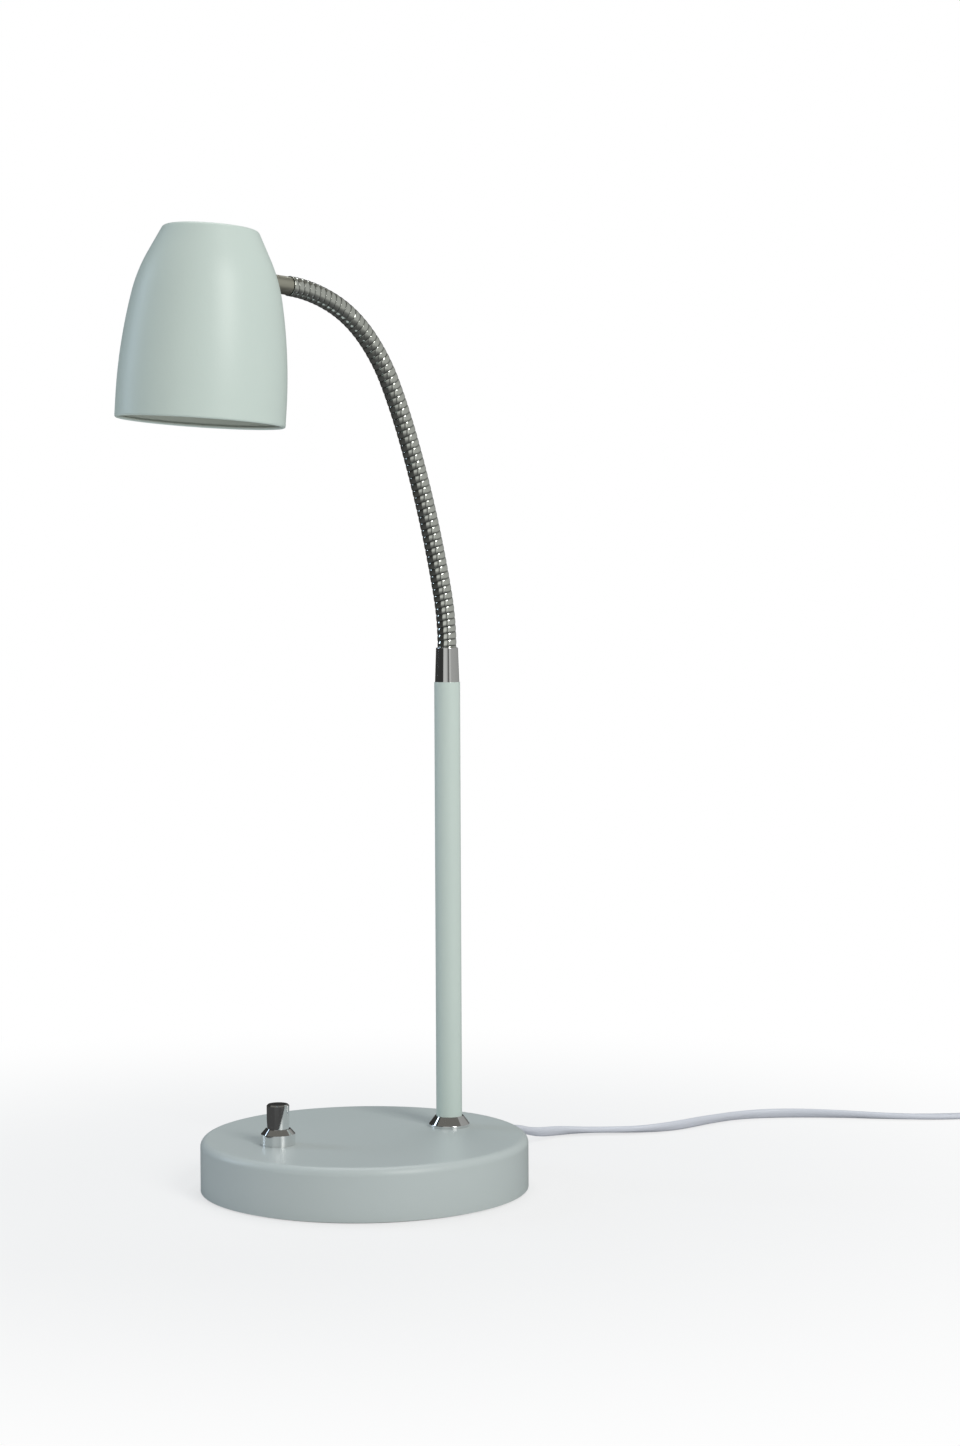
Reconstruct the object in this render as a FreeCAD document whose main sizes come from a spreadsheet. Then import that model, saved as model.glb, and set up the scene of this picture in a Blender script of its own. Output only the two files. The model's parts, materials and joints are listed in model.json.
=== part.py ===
import FreeCAD, Part
import math
import os
import re
import Sketcher
from FreeCAD import Placement, Rotation, Vector

# Gooseneck desk lamp. Lengths in millimetres, angles in degrees, +Z up.
# The origin is the centre of the underside of the round base.
# +X runs from there to the foot of the pole. The knob stands opposite, at -X.

os.makedirs("parts", exist_ok=True)
doc = FreeCAD.newDocument("desk_lamp")
dim = doc.addObject("Spreadsheet::Sheet", "dim")

SIZES = {
    # base
    "base_diameter": 150,
    "base_height": 24,
    "base_edge_radius": 3.5,
    "cover_wall": 1.2,
    "cover_lift": 0.6,
    "pad_thickness": 1.2,
    "plate_thickness": 1.8,
    "plate_clearance": 0.4,
    "weight_thickness": 9,
    "weight_clearance": 1,
    "post_inset": 15,
    "post_diameter": 13,
    "post_start_angle": 90,
    "stud_diameter": 4,
    "stud_clearance": 0.25,
    "stud_nut_width": 7,
    "stud_nut_height": 3.2,
    "screw_diameter": 3.9,
    "screw_head_diameter": 7.4,
    "screw_length": 8,
    "screw_clearance": 0.05,
    "screw_start_angle": 120,
    "fastener_count": 3,
    # pole
    "pole_inset": 31,
    "pole_diameter": 12,
    "pole_wall": 1,
    "pole_height": 207,
    "flange_diameter": 19,
    "flange_height": 5,
    "flange_rim": 1.2,
    "pipe_diameter": 7.9,
    "pipe_bore": 5.5,
    "pipe_drop": 10,
    "pipe_rise": 12,
    "insert_height": 13,
    "stiffener_diameter": 30,
    "stiffener_thickness": 2,
    "pipe_nut_width": 12,
    "pipe_nut_height": 4,
    "fit_clearance": 0.05,
    # lower ferrule
    "ferrule_height": 16,
    "ferrule_low_diameter": 11.3,
    "ferrule_top_diameter": 10.2,
    "ferrule_plug_length": 12,
    "ferrule_bore": 5,
    # neck
    "neck_length": 200.4,
    "neck_swing": 16,
    "neck_diameter": 8.8,
    "neck_groove_depth": 0.4,
    "neck_bore": 4.4,
    "neck_pieces": 8,
    "neck_ribs_per_piece": 8,
    "neck_ball_radius": 5.6,
    "neck_ball_gap": 0.2,
    "neck_bend_1": 12.5,
    "neck_bend_2": 3,
    "neck_bend_3": 3,
    "neck_bend_4": 3,
    "neck_bend_5": 5.6,
    "neck_bend_6": 18,
    "neck_bend_7": 24,
    "neck_bend_8": 18.8,
    "neck_plug_length": 7,
    "neck_low_plug_diameter": 7.4,
    "neck_high_plug_diameter": 5.6,
    # head
    "head_reach": 44.9,
    "head_twist": 3.2,
    "nipple_height": 63.4,
    "nipple_diameter": 8,
    "nipple_thread": 6,
    "nipple_bore": 4,
    "nipple_chamfer": 0.4,
    "shade_height": 84,
    "shade_diameter": 72.4,
    "shade_skirt": 8,
    "shade_shoulder_height": 53,
    "shade_side_radius": 235,
    "shade_shoulder_radius": 68,
    "shade_top_round": 3,
    "shade_wall": 0.9,
    "shade_bead": 0.8,
    "bracket_gauge": 1.2,
    "bracket_width": 12,
    "bracket_back": 10,
    "bracket_leg": 15,
    "bracket_bend": 2,
    "bracket_height": 71,
    "saddle_diameter": 12,
    "saddle_thickness": 4.8,
    "thread_nut_width": 9,
    "thread_nut_height": 4,
    "thread_spare": 1,
    "holder_diameter": 20,
    "holder_height": 12,
    "holder_screw_spacing": 12,
    "holder_screw_diameter": 3,
    "holder_screw_head": 5.4,
    "holder_screw_length": 6,
    "lamp_pin_spacing": 10,
    "lamp_pin_diameter": 3,
    "lamp_pin_head": 5,
    "lamp_pin_length": 7,
    "lamp_neck_diameter": 24,
    "lamp_diameter": 50,
    "lamp_length": 50,
    "lamp_neck_length": 9,
    "lamp_rim": 6,
    "lamp_side_radius": 70,
    "lens_diameter": 45,
    "lens_thickness": 2.5,
    # dimmer and knob
    "knob_inset": 31.5,
    "collar_diameter": 15.5,
    "collar_straight": 5,
    "collar_height": 7.3,
    "collar_top_diameter": 11.4,
    "collar_bore": 10.7,
    "collar_floor": 3,
    "knob_diameter": 10.2,
    "knob_height": 11,
    "knob_sink": 3,
    "knob_chamfer": 0.6,
    "knob_travel": 1.2,
    "bushing_diameter": 7,
    "bushing_rise": 2.4,
    "shaft_diameter": 6,
    "shaft_into_knob": 8,
    "dimmer_length": 27,
    "dimmer_width": 25,
    "dimmer_height": 14,
    "dimmer_clearance": 1.5,
    "plunger_diameter": 4,
    "plunger_length": 2.5,
    "plunger_gap": 0.1,
    # mains entry and wiring
    "cord_angle": 25,
    "cord_exit_height": 10,
    "cord_diameter": 5.4,
    "relief_length": 24,
    "relief_head_diameter": 12,
    "relief_neck_diameter": 9,
    "relief_tip_diameter": 7.2,
    "relief_head": 2.5,
    "relief_clearance": 0.05,
    "channel_width": 26,
    "channel_start": 10,
    "terminal_inset": 45,
    "terminal_length": 16,
    "terminal_width": 20,
    "terminal_height": 10,
    "terminal_hole": 3.2,
    "terminal_pitch": 7,
    "clamp_inset": 22,
    "clamp_length": 8,
    "clamp_width": 22,
    "clamp_cap": 5,
    "clamp_screw_pitch": 15,
    "clamp_screw_diameter": 2.8,
    "clamp_screw_head": 5.2,
    "clamp_screw_length": 9,
    # put-away cord and plug
    "coil_x": 362,
    "coil_y": -64,
    "coil_start_angle": 60,
    "coil_radius": 41,
    "coil_pitch": 5.9,
    "coil_layer": 6.2,
    "coil_ease": 0.8,
    "coil_half_turns": 7,
    "coil_lead": 24,
    "floor_gap": 0.05,
    "tail_level": 26,
    "tail_length": 52,
    "plug_width": 35.3,
    "plug_thickness": 13.7,
    "plug_length": 34,
    "plug_nose": 9,
    "plug_relief": 16,
    "plug_relief_tip": 7.6,
    "plug_pin_diameter": 4,
    "plug_pin_length": 19,
    "plug_pin_pitch": 18.6,
}

for row, (alias, value) in enumerate(SIZES.items(), start=1):
    dim.set(f"A{row}", alias)
    dim.set(f"B{row}", str(value))
    dim.setAlias(f"B{row}", alias)
doc.recompute()

# Chosen points of the cord on the floor, from the strain relief to the put-away coil.
CORD_POINTS = [
    (122, 56, 3.6),
    (140, 58, 2.75),
    (158, 52, 2.75),
    (176, 42, 2.75),
    (196, 39, 2.75),
    (217, 44, 2.75),
    (242, 47, 2.75),
    (265, 39, 2.75),
    (287, 24, 2.75),
    (309, 6, 2.75),
    (332, -7, 2.75),
]

X_AXIS = Vector(1, 0, 0)
Y_AXIS = Vector(0, 1, 0)
Z_AXIS = Vector(0, 0, 1)
nodes = {}


def size(expression):
    """Number that an expression of the sheet's aliases gives."""
    return float(dim.evalExpression(expression))


def linked(expression):
    """The same expression as other objects of the document write it."""
    return re.sub(r"[a-z]\w+", lambda m: "dim." + m[0] if m[0] in SIZES else m[0], expression)


def drive(item, **properties):
    """Bind properties to expressions. A double underscore stands for a dot."""
    for name, expression in properties.items():
        item.setExpression(name.replace("__", "."), linked(expression))


def keep(name, item):
    """Mark an object as the sub-part of that name."""
    item.Label = name
    nodes[name] = item
    return item


# Sketches


def new_body(name):
    return doc.addObject("PartDesign::Body", name)


def new_sketch(body, role, lift=None):
    plane = [item for item in body.Origin.OriginFeatures if item.Role == role][0]
    sketch = body.newObject("Sketcher::SketchObject", body.Name + "_sketch")
    sketch.AttachmentSupport = [(plane, "")]
    sketch.MapMode = "FlatFace"
    if lift:
        drive(sketch, AttachmentOffset__Base__z=lift)
    return sketch


def fix_point(sketch, index, end, x, y):
    """Place one end of a sketch edge at x, y, which are expressions."""
    for kind, expression, axis in (("DistanceX", x, -2), ("DistanceY", y, -1)):
        if expression == "0":
            sketch.addConstraint(Sketcher.Constraint("PointOnObject", index, end, axis))
        else:
            value = size(expression)
            number = sketch.addConstraint(Sketcher.Constraint(kind, -1, 1, index, end, value))
            sketch.setExpression(f"Constraints[{number}]", linked(expression))


def draw_outline(sketch, corners):
    """Closed outline. A corner is x, y, and for an arc to the next corner also a radius.

    A positive radius bulges to the right of the way the outline runs.
    """
    spots = [Vector(size(corner[0]), size(corner[1]), 0) for corner in corners]
    ends = []
    for number, corner in enumerate(corners):
        start = spots[number]
        stop = spots[(number + 1) % len(spots)]
        if len(corner) == 2:
            index = sketch.addGeometry(Part.LineSegment(start, stop))
            ends.append((index, 1, 2))
            continue
        radius = size(corner[2])
        chord = stop - start
        outward = Vector(chord.y, -chord.x, 0).normalize()
        rise = abs(radius) - math.sqrt(radius ** 2 - (chord.Length / 2) ** 2)
        middle = (start + stop) / 2 + outward * math.copysign(rise, radius)
        index = sketch.addGeometry(Part.Arc(start, middle, stop))
        forward = (sketch.getPoint(index, 1) - start).Length < (sketch.getPoint(index, 2) - start).Length
        ends.append((index, 1, 2) if forward else (index, 2, 1))
        number = sketch.addConstraint(Sketcher.Constraint("Radius", index, abs(radius)))
        sketch.setExpression(f"Constraints[{number}]", linked(f"abs({corner[2]})"))
    for number, (index, first, last) in enumerate(ends):
        following = ends[(number + 1) % len(ends)]
        sketch.addConstraint(Sketcher.Constraint("Coincident", index, last, following[0], following[1]))
        fix_point(sketch, index, first, corners[number][0], corners[number][1])


def draw_box(sketch, length, width, x="0", y="0"):
    """Rectangle centred on x, y."""
    left, right = f"{x} - ({length}) / 2", f"{x} + ({length}) / 2"
    low, high = f"{y} - ({width}) / 2", f"{y} + ({width}) / 2"
    draw_outline(sketch, [(left, low), (right, low), (right, high), (left, high)])


def draw_circle(sketch, diameter, x="0", y="0"):
    circle = Part.Circle(Vector(size(x), size(y), 0), Z_AXIS, size(diameter) / 2)
    index = sketch.addGeometry(circle)
    fix_point(sketch, index, 3, x, y)
    number = sketch.addConstraint(Sketcher.Constraint("Diameter", index, size(diameter)))
    sketch.setExpression(f"Constraints[{number}]", linked(diameter))


# Features


def turn(name, corners):
    """Body turned about Z from a half outline of radius and height."""
    body = new_body(name)
    sketch = new_sketch(body, "XZ_Plane")
    draw_outline(sketch, corners)
    feature = body.newObject("PartDesign::Revolution", name + "_turn")
    feature.Profile = sketch
    feature.ReferenceAxis = (sketch, ["V_Axis"])
    feature.Angle = 360
    doc.recompute()
    return body


def pad(body, sketch, length):
    feature = body.newObject("PartDesign::Pad", sketch.Name + "_pad")
    feature.Profile = sketch
    drive(feature, Length=length)
    doc.recompute()
    return feature


def pocket(body, sketch, depth, upward=False):
    feature = body.newObject("PartDesign::Pocket", sketch.Name + "_pocket")
    feature.Profile = sketch
    feature.Reversed = upward
    drive(feature, Length=depth)
    doc.recompute()
    return feature


def dress(body, kind, radius, wanted):
    """Fillet or chamfer the edges of the body's tip that the test picks."""
    base = body.Tip
    names = [f"Edge{i}" for i, edge in enumerate(base.Shape.Edges, start=1) if wanted(edge)]
    feature = body.newObject("PartDesign::" + kind, f"{body.Name}_{kind.lower()}")
    feature.Base = (base, names)
    drive(feature, **{"Radius" if kind == "Fillet" else "Size": radius})
    doc.recompute()
    return feature


def ring_at(radius, height):
    """Test for the circular edges of that radius at that height."""
    def wanted(edge):
        curve = edge.Curve
        if not isinstance(curve, Part.Circle):
            return False
        return abs(curve.Radius - size(radius)) < 0.01 and abs(curve.Center.z - size(height)) < 0.01
    return wanted


def primitive(kind, name, place=None, **properties):
    item = doc.addObject("Part::" + kind, name)
    drive(item, **properties)
    if place:
        item.Placement = place
    return item


def rod(name, diameter, length, place):
    return primitive("Cylinder", name, place, Radius=f"({diameter}) / 2", Height=length)


def join(name, items):
    item = doc.addObject("Part::MultiFuse", name)
    item.Shapes = items
    return item


def cut(name, base, tool):
    item = doc.addObject("Part::Cut", name)
    item.Base = base
    item.Tool = tool
    return item


def common(name, base, tool):
    item = doc.addObject("Part::Common", name)
    item.Base = base
    item.Tool = tool
    return item


def hex_nut(name, width, height, bore, place):
    """Hexagonal nut standing on its placement."""
    blank = primitive("Prism", name + "_blank", place, Height=height, Circumradius=f"{width} / sqrt(3)")
    blank.Polygon = 6
    return cut(name, blank, rod(name + "_bore", bore, height, place))


def group(name, item, places):
    """Several copies of one piece, as one node of separate solids."""
    doc.recompute()
    copies = doc.addObject("Part::Feature", name)
    solids = []
    for place in places:
        copy = item.Shape.copy()
        copy.Placement = place.multiply(copy.Placement)
        solids.append(copy)
    copies.Shape = Part.makeCompound(solids)
    return keep(name, copies)


def at(x, y, z, rotation=None):
    """Placement at a point given by expressions or numbers."""
    point = Vector(*(size(value) if isinstance(value, str) else value for value in (x, y, z)))
    return Placement(point, rotation or Rotation())


def around(radius, start, height="0"):
    """Evenly spaced placements on a circle about the base's centre."""
    count = int(size("fastener_count"))
    places = []
    for number in range(count):
        angle = math.radians(size(start) + 360 * number / count)
        reach = size(radius)
        places.append(Placement(Vector(reach * math.cos(angle), reach * math.sin(angle), size(height)), Rotation()))
    return places


# Levels inside the base.
PLATE_LOW = "pad_thickness"
PLATE_TOP = "(pad_thickness + plate_thickness)"
WEIGHT_TOP = f"({PLATE_TOP} + weight_thickness)"
CEILING = "(base_height - cover_wall)"
INNER_RADIUS = "(base_diameter / 2 - cover_wall)"

# Distances from the base's centre.
POLE_REACH = "(base_diameter / 2 - pole_inset)"
KNOB_REACH = "(base_diameter / 2 - knob_inset)"
POST_REACH = "(base_diameter / 2 - post_inset)"
TERMINAL_REACH = "(base_diameter / 2 - terminal_inset)"
CLAMP_REACH = "(base_diameter / 2 - clamp_inset)"


def base_cover():
    """Spun steel cover: a shallow cup upside down, with three weld studs inside."""
    shell = turn("cover_shell", [
        ("0", CEILING),
        (INNER_RADIUS, CEILING),
        (INNER_RADIUS, "cover_lift"),
        ("base_diameter / 2", "cover_lift"),
        ("base_diameter / 2", "base_height"),
        ("0", "base_height"),
    ])
    dress(shell, "Fillet", "base_edge_radius", ring_at("base_diameter / 2", "base_height"))
    dress(shell, "Fillet", "base_edge_radius - cover_wall", ring_at(INNER_RADIUS, CEILING))
    holes = new_sketch(shell, "XY_Plane", "base_height")
    draw_circle(holes, "pipe_diameter + 2 * fit_clearance", x=POLE_REACH)
    draw_circle(holes, "bushing_diameter + 2 * fit_clearance", x=f"-{KNOB_REACH}")
    pocket(shell, holes, "cover_wall * 2")
    stud_length = f"{CEILING} - {PLATE_TOP} - screw_clearance"
    studs = []
    for number, place in enumerate(around(POST_REACH, "post_start_angle", f"{PLATE_TOP} + screw_clearance")):
        studs.append(rod(f"stud_{number + 1}", "stud_diameter", stud_length, place))
    entry = rod("cord_entry", "relief_neck_diameter + 2 * relief_clearance", "base_diameter", cord_axis("0"))
    keep("base_cover", cut("base_cover", join("studded_cover", [shell] + studs), entry))


def cord_axis(radius):
    """Placement on the cord's way out of the base, with its Z pointing outwards."""
    spin = Rotation(Z_AXIS, size("cord_angle"))
    reach = spin.multVec(Vector(size(radius), 0, 0))
    return Placement(reach + Vector(0, 0, size("cord_exit_height")), spin.multiply(Rotation(Y_AXIS, 90)))


def channel_place(radius, height):
    """Placement in the wiring channel, with X pointing outwards and Z up."""
    spin = Rotation(Z_AXIS, size("cord_angle"))
    reach = spin.multVec(Vector(size(radius), 0, 0))
    return Placement(reach + Vector(0, 0, size(height)), spin)


def base_weight():
    """Cast-iron disc on the bottom plate, with three posts up to the cover."""
    disc = rod("weight_disc", f"2 * {INNER_RADIUS} - 2 * weight_clearance", "weight_thickness", at(0, 0, PLATE_TOP))
    solid = [disc]
    tools = []
    for number, place in enumerate(around(POST_REACH, "post_start_angle", PLATE_TOP)):
        tag = number + 1
        solid.append(rod(f"post_{tag}", "post_diameter", f"{CEILING} - {PLATE_TOP}", place))
        bore = "stud_diameter + 2 * stud_clearance"
        tools.append(rod(f"stud_way_{tag}", bore, "base_height", place))
        recess = "stud_nut_width * 1.4"
        tools.append(rod(f"nut_recess_{tag}", recess, "stud_nut_height + 1", place))
    for number, place in enumerate(around(POST_REACH, "screw_start_angle", PLATE_TOP)):
        tools.append(rod(f"screw_way_{number + 1}", "screw_diameter + 2 * screw_clearance", "screw_length", place))
    room = primitive("Box", "dimmer_room", Length="dimmer_length + 2 * dimmer_clearance",
                     Width="dimmer_width + 2 * dimmer_clearance", Height="base_height")
    drive(room, Placement__Base__x=f"-{KNOB_REACH} - dimmer_length / 2 - dimmer_clearance",
          Placement__Base__y="-dimmer_width / 2 - dimmer_clearance", Placement__Base__z=PLATE_TOP)
    channel = primitive("Box", "wiring_channel", Length="base_diameter / 2", Width="channel_width",
                        Height="base_height")
    corner = channel_place("channel_start", PLATE_TOP)
    channel.Placement = corner.multiply(at(0, "-channel_width / 2", 0))
    keep("base_weight", cut("base_weight", join("weight_body", solid), join("weight_tools", tools + [room, channel])))


def base_underside():
    """Bottom plate with its countersunk screws, the nuts of the studs and the foot pad."""
    plate = turn("plate_disc", [
        ("0", PLATE_LOW),
        (f"{INNER_RADIUS} - plate_clearance", PLATE_LOW),
        (f"{INNER_RADIUS} - plate_clearance", PLATE_TOP),
        ("0", PLATE_TOP),
    ])
    places = around(POST_REACH, "screw_start_angle", PLATE_LOW)
    seats = []
    for number, place in enumerate(places):
        seats.append(primitive("Cone", f"screw_seat_{number + 1}", place,
                               Radius1="screw_head_diameter / 2 + screw_clearance",
                               Radius2="screw_diameter / 2 + screw_clearance",
                               Height="plate_thickness"))
    keep("bottom_plate", cut("bottom_plate", plate, join("screw_seats", seats)))
    screw = turn("plate_screw", [
        ("0", "0"),
        ("screw_head_diameter / 2", "0"),
        ("screw_diameter / 2", "plate_thickness"),
        ("screw_diameter / 2", "screw_length"),
        ("0", "screw_length"),
    ])
    drive_slot = new_sketch(screw, "XY_Plane")
    draw_outline(drive_slot, [
        ("-screw_diameter / 2", "-screw_diameter / 8"),
        ("screw_diameter / 2", "-screw_diameter / 8"),
        ("screw_diameter / 2", "screw_diameter / 8"),
        ("-screw_diameter / 2", "screw_diameter / 8"),
    ])
    pocket(screw, drive_slot, "plate_thickness / 2", upward=True)
    group("plate_screws", screw, places)
    nut_level = f"{PLATE_TOP} + 1"
    nut = hex_nut("stud_nut", "stud_nut_width", "stud_nut_height", "stud_diameter + 2 * screw_clearance", at(0, 0, 0))
    group("stud_nuts", nut, around(POST_REACH, "post_start_angle", nut_level))
    pad_body = turn("foot_pad", [
        ("0", "0"),
        (f"{INNER_RADIUS} - 2 * plate_clearance", "0"),
        (f"{INNER_RADIUS} - 2 * plate_clearance", "pad_thickness"),
        ("0", "pad_thickness"),
    ])
    keep("foot_pad", pad_body)


def pole():
    """Painted tube on its flange, held by a threaded pipe and a nut under the cover."""
    foot = "base_height"
    tube = turn("pole_tube", [
        ("pole_diameter / 2 - pole_wall", "0"),
        ("pole_diameter / 2", "0"),
        ("pole_diameter / 2", "pole_height"),
        ("pole_diameter / 2 - pole_wall", "pole_height"),
    ])
    drive(tube, Placement__Base__x=POLE_REACH, Placement__Base__z=foot)
    keep("pole_tube", tube)
    flange = turn("pole_flange", [
        ("pole_diameter / 2 + fit_clearance", "0"),
        ("flange_diameter / 2", "0"),
        ("flange_diameter / 2", "flange_rim"),
        ("pole_diameter / 2 + 0.6", "flange_height"),
        ("pole_diameter / 2 + fit_clearance", "flange_height"),
    ])
    dress(flange, "Fillet", "flange_rim / 4", ring_at("flange_diameter / 2", "flange_rim"))
    drive(flange, Placement__Base__x=POLE_REACH, Placement__Base__z=foot)
    keep("pole_flange", flange)
    insert = turn("pole_insert", [
        ("pipe_diameter / 2", "0"),
        ("pole_diameter / 2 - pole_wall", "0"),
        ("pole_diameter / 2 - pole_wall", "insert_height"),
        ("pipe_diameter / 2", "insert_height"),
    ])
    drive(insert, Placement__Base__x=POLE_REACH, Placement__Base__z=foot)
    keep("pole_insert", insert)
    pipe = turn("threaded_pipe", [
        ("pipe_bore / 2", "-pipe_drop"),
        ("pipe_diameter / 2", "-pipe_drop"),
        ("pipe_diameter / 2", "pipe_rise"),
        ("pipe_bore / 2", "pipe_rise"),
    ])
    drive(pipe, Placement__Base__x=POLE_REACH, Placement__Base__z=foot)
    keep("threaded_pipe", pipe)
    washer = turn("stiffener_washer", [
        ("pipe_diameter / 2 + fit_clearance", "-stiffener_thickness"),
        ("stiffener_diameter / 2", "-stiffener_thickness"),
        ("stiffener_diameter / 2", "0"),
        ("pipe_diameter / 2 + fit_clearance", "0"),
    ])
    drive(washer, Placement__Base__x=POLE_REACH, Placement__Base__z=CEILING)
    keep("stiffener_washer", washer)
    level = f"{CEILING} - stiffener_thickness - pipe_nut_height"
    keep("pipe_nut", hex_nut("pipe_nut", "pipe_nut_width", "pipe_nut_height", "pipe_diameter",
                             at(POLE_REACH, 0, level)))


def ferrule():
    """Polished ferrule at the top of the pole. Its plug sits in the tube, its bore takes the neck."""
    body = turn("neck_ferrule", [
        ("ferrule_bore / 2", "-ferrule_plug_length"),
        ("pole_diameter / 2 - pole_wall - fit_clearance", "-ferrule_plug_length"),
        ("pole_diameter / 2 - pole_wall - fit_clearance", "0"),
        ("ferrule_low_diameter / 2", "0"),
        ("ferrule_top_diameter / 2", "ferrule_height"),
        ("neck_low_plug_diameter / 2 + fit_clearance", "ferrule_height"),
        ("neck_low_plug_diameter / 2 + fit_clearance", "ferrule_height - neck_plug_length - fit_clearance"),
        ("ferrule_bore / 2", "ferrule_height - neck_plug_length - fit_clearance"),
    ])
    dress(body, "Fillet", "nipple_chamfer", ring_at("ferrule_top_diameter / 2", "ferrule_height"))
    drive(body, Placement__Base__x=POLE_REACH, Placement__Base__z="base_height + pole_height")
    keep("neck_ferrule", body)


# Neck


def piece_length():
    return size("neck_length / neck_pieces")


def arc_step(length, bend):
    """Placement at the end of an arc that starts along Z and bends towards X."""
    angle = math.radians(bend)
    radius = length / angle
    point = Vector(radius * (1 - math.cos(angle)), 0, radius * math.sin(angle))
    return Placement(point, Rotation(Y_AXIS, bend))


def neck_frames():
    """Placements at the ends of the neck's pieces, from the ferrule to the head."""
    start = at(POLE_REACH, 0, "base_height + pole_height + ferrule_height",
               Rotation(Z_AXIS, 180 + size("neck_swing")))
    frames = [start]
    for number in range(1, int(size("neck_pieces")) + 1):
        frames.append(frames[-1].multiply(arc_step(piece_length(), size(f"neck_bend_{number}"))))
    return frames


def ball_setback():
    """Distance from a joint's ball centre forward to the rim of its dome."""
    groove = size("neck_diameter / 2 - neck_groove_depth")
    return math.sqrt(size("neck_ball_radius") ** 2 - groove ** 2)


def ring(radius, place):
    """Circle square to the neck, whose start always lies to the same side."""
    circle = Part.makeCircle(radius)
    circle.Placement = place.multiply(Placement(Vector(), Rotation(Z_AXIS, 90)))
    return Part.Wire([circle])


def neck_piece(number, frame):
    """One rigid length of the neck: pressed turns on an arc, a socket below, a dome above."""
    length = piece_length()
    bend = size(f"neck_bend_{number}")
    last = number == int(size("neck_pieces"))
    ridge = size("neck_diameter / 2")
    groove = size("neck_diameter / 2 - neck_groove_depth")
    bore = size("neck_bore / 2")
    ball = size("neck_ball_radius")
    turns = int(size("neck_ribs_per_piece"))
    step = length / turns
    wires = [ring(groove, Placement())]
    for turn_number in range(turns):
        for share, radius in ((0.3, ridge), (1.0, groove)):
            travel = (turn_number + share) * step
            wires.append(ring(radius, arc_step(travel, bend * travel / length)))
    body = Part.makeLoft(wires, True, True)
    end = arc_step(length, bend)
    middle = arc_step(length / 2, bend / 2)
    way = Part.Wire([Part.Arc(Vector(), middle.Base, end.Base).toShape()])
    hole = way.makePipeShell([ring(bore, Placement())], True, False)
    back = -ball_setback()
    if last:
        plug = Part.makeCylinder(size("neck_high_plug_diameter / 2"), size("neck_plug_length"))
        plug_hole = Part.makeCylinder(bore, size("neck_plug_length"))
        plug.Placement = end
        plug_hole.Placement = end
    else:
        reach = ball - ball_setback()
        cap = Part.makeCylinder(groove, reach).common(Part.makeSphere(ball, Vector(0, 0, back)))
        plug_hole = Part.makeCylinder(bore, reach)
        cap.Placement = end
        plug_hole.Placement = end
        plug = cap
    body = body.fuse(plug).cut(hole).cut(plug_hole)
    if number == 1:
        low = Part.makeCylinder(size("neck_low_plug_diameter / 2"), size("neck_plug_length"))
        low = low.cut(Part.makeCylinder(bore, size("neck_plug_length")))
        low.translate(Vector(0, 0, -size("neck_plug_length")))
        body = body.fuse(low)
    else:
        body = body.cut(Part.makeSphere(ball + size("neck_ball_gap"), Vector(0, 0, back)))
    piece = doc.addObject("Part::Feature", f"neck_piece_{number}")
    piece.Shape = body.Solids[0] if len(body.Solids) == 1 else body
    piece.Placement = frame
    return keep(f"neck_piece_{number}", piece)


# Head


def head_place(tip):
    """Placement of the shade's rim centre, with Z up its axis and X towards the neck."""
    turned = Rotation(Vector(0, 0, -1), Vector(0, -1, 0), Vector(-1, 0, 0), "XYZ")
    level = Vector(0, 0, size("nipple_height"))
    twist = Placement(level, Rotation(X_AXIS, size("head_twist"))).multiply(Placement(level * -1, Rotation()))
    square = tip.multiply(Placement(Vector(size("nipple_height"), 0, size("head_reach")), turned))
    return square.multiply(twist)


# Where the shade's side curve meets its shoulder, as the slope there, and the centre of the shoulder.
RISE = "((shade_shoulder_height - shade_skirt) / shade_side_radius)"
RUN = f"sqrt(1 - {RISE} ^ 2)"
MIDDLE_X = f"(shade_diameter / 2 - shade_side_radius + (shade_side_radius - shade_shoulder_radius) * {RUN})"
MIDDLE_Z = f"(shade_skirt + (shade_side_radius - shade_shoulder_radius) * {RISE})"


def shoulder_reach(inset, height):
    """Distance from the shade's axis to its shoulder at a height, drawn in by the inset."""
    return f"({MIDDLE_X} + sqrt((shade_shoulder_radius - {inset}) ^ 2 - ({height} - {MIDDLE_Z}) ^ 2))"


# Side of the bracket that the nut bears on, and inner end of the nipple's thread.
BRACKET_FACE = f"({shoulder_reach('shade_wall', 'nipple_height')} - saddle_thickness - bracket_gauge)"
THREAD_END = f"({BRACKET_FACE} - thread_nut_height - thread_spare)"


def bell_side(inset):
    """Corners of the shade's side from rim to top, drawn in by the inset: skirt, side curve, shoulder."""
    top = f"(shade_height - {inset})"
    return [
        (f"shade_diameter / 2 - {inset}", "0"),
        (f"shade_diameter / 2 - {inset}", "shade_skirt", f"shade_side_radius - {inset}"),
        (f"{MIDDLE_X} + (shade_shoulder_radius - {inset}) * {RUN}",
         f"{MIDDLE_Z} + (shade_shoulder_radius - {inset}) * {RISE}", f"shade_shoulder_radius - {inset}"),
        (shoulder_reach(inset, top), top),
    ]


def bell(name, inset):
    """Solid of the shade's form, drawn in by the inset."""
    side = bell_side(inset)
    body = turn(name, [("0", "0")] + side + [("0", side[-1][1])])
    dress(body, "Fillet", f"shade_top_round - {inset}", ring_at(*side[-1]))
    return body


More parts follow.
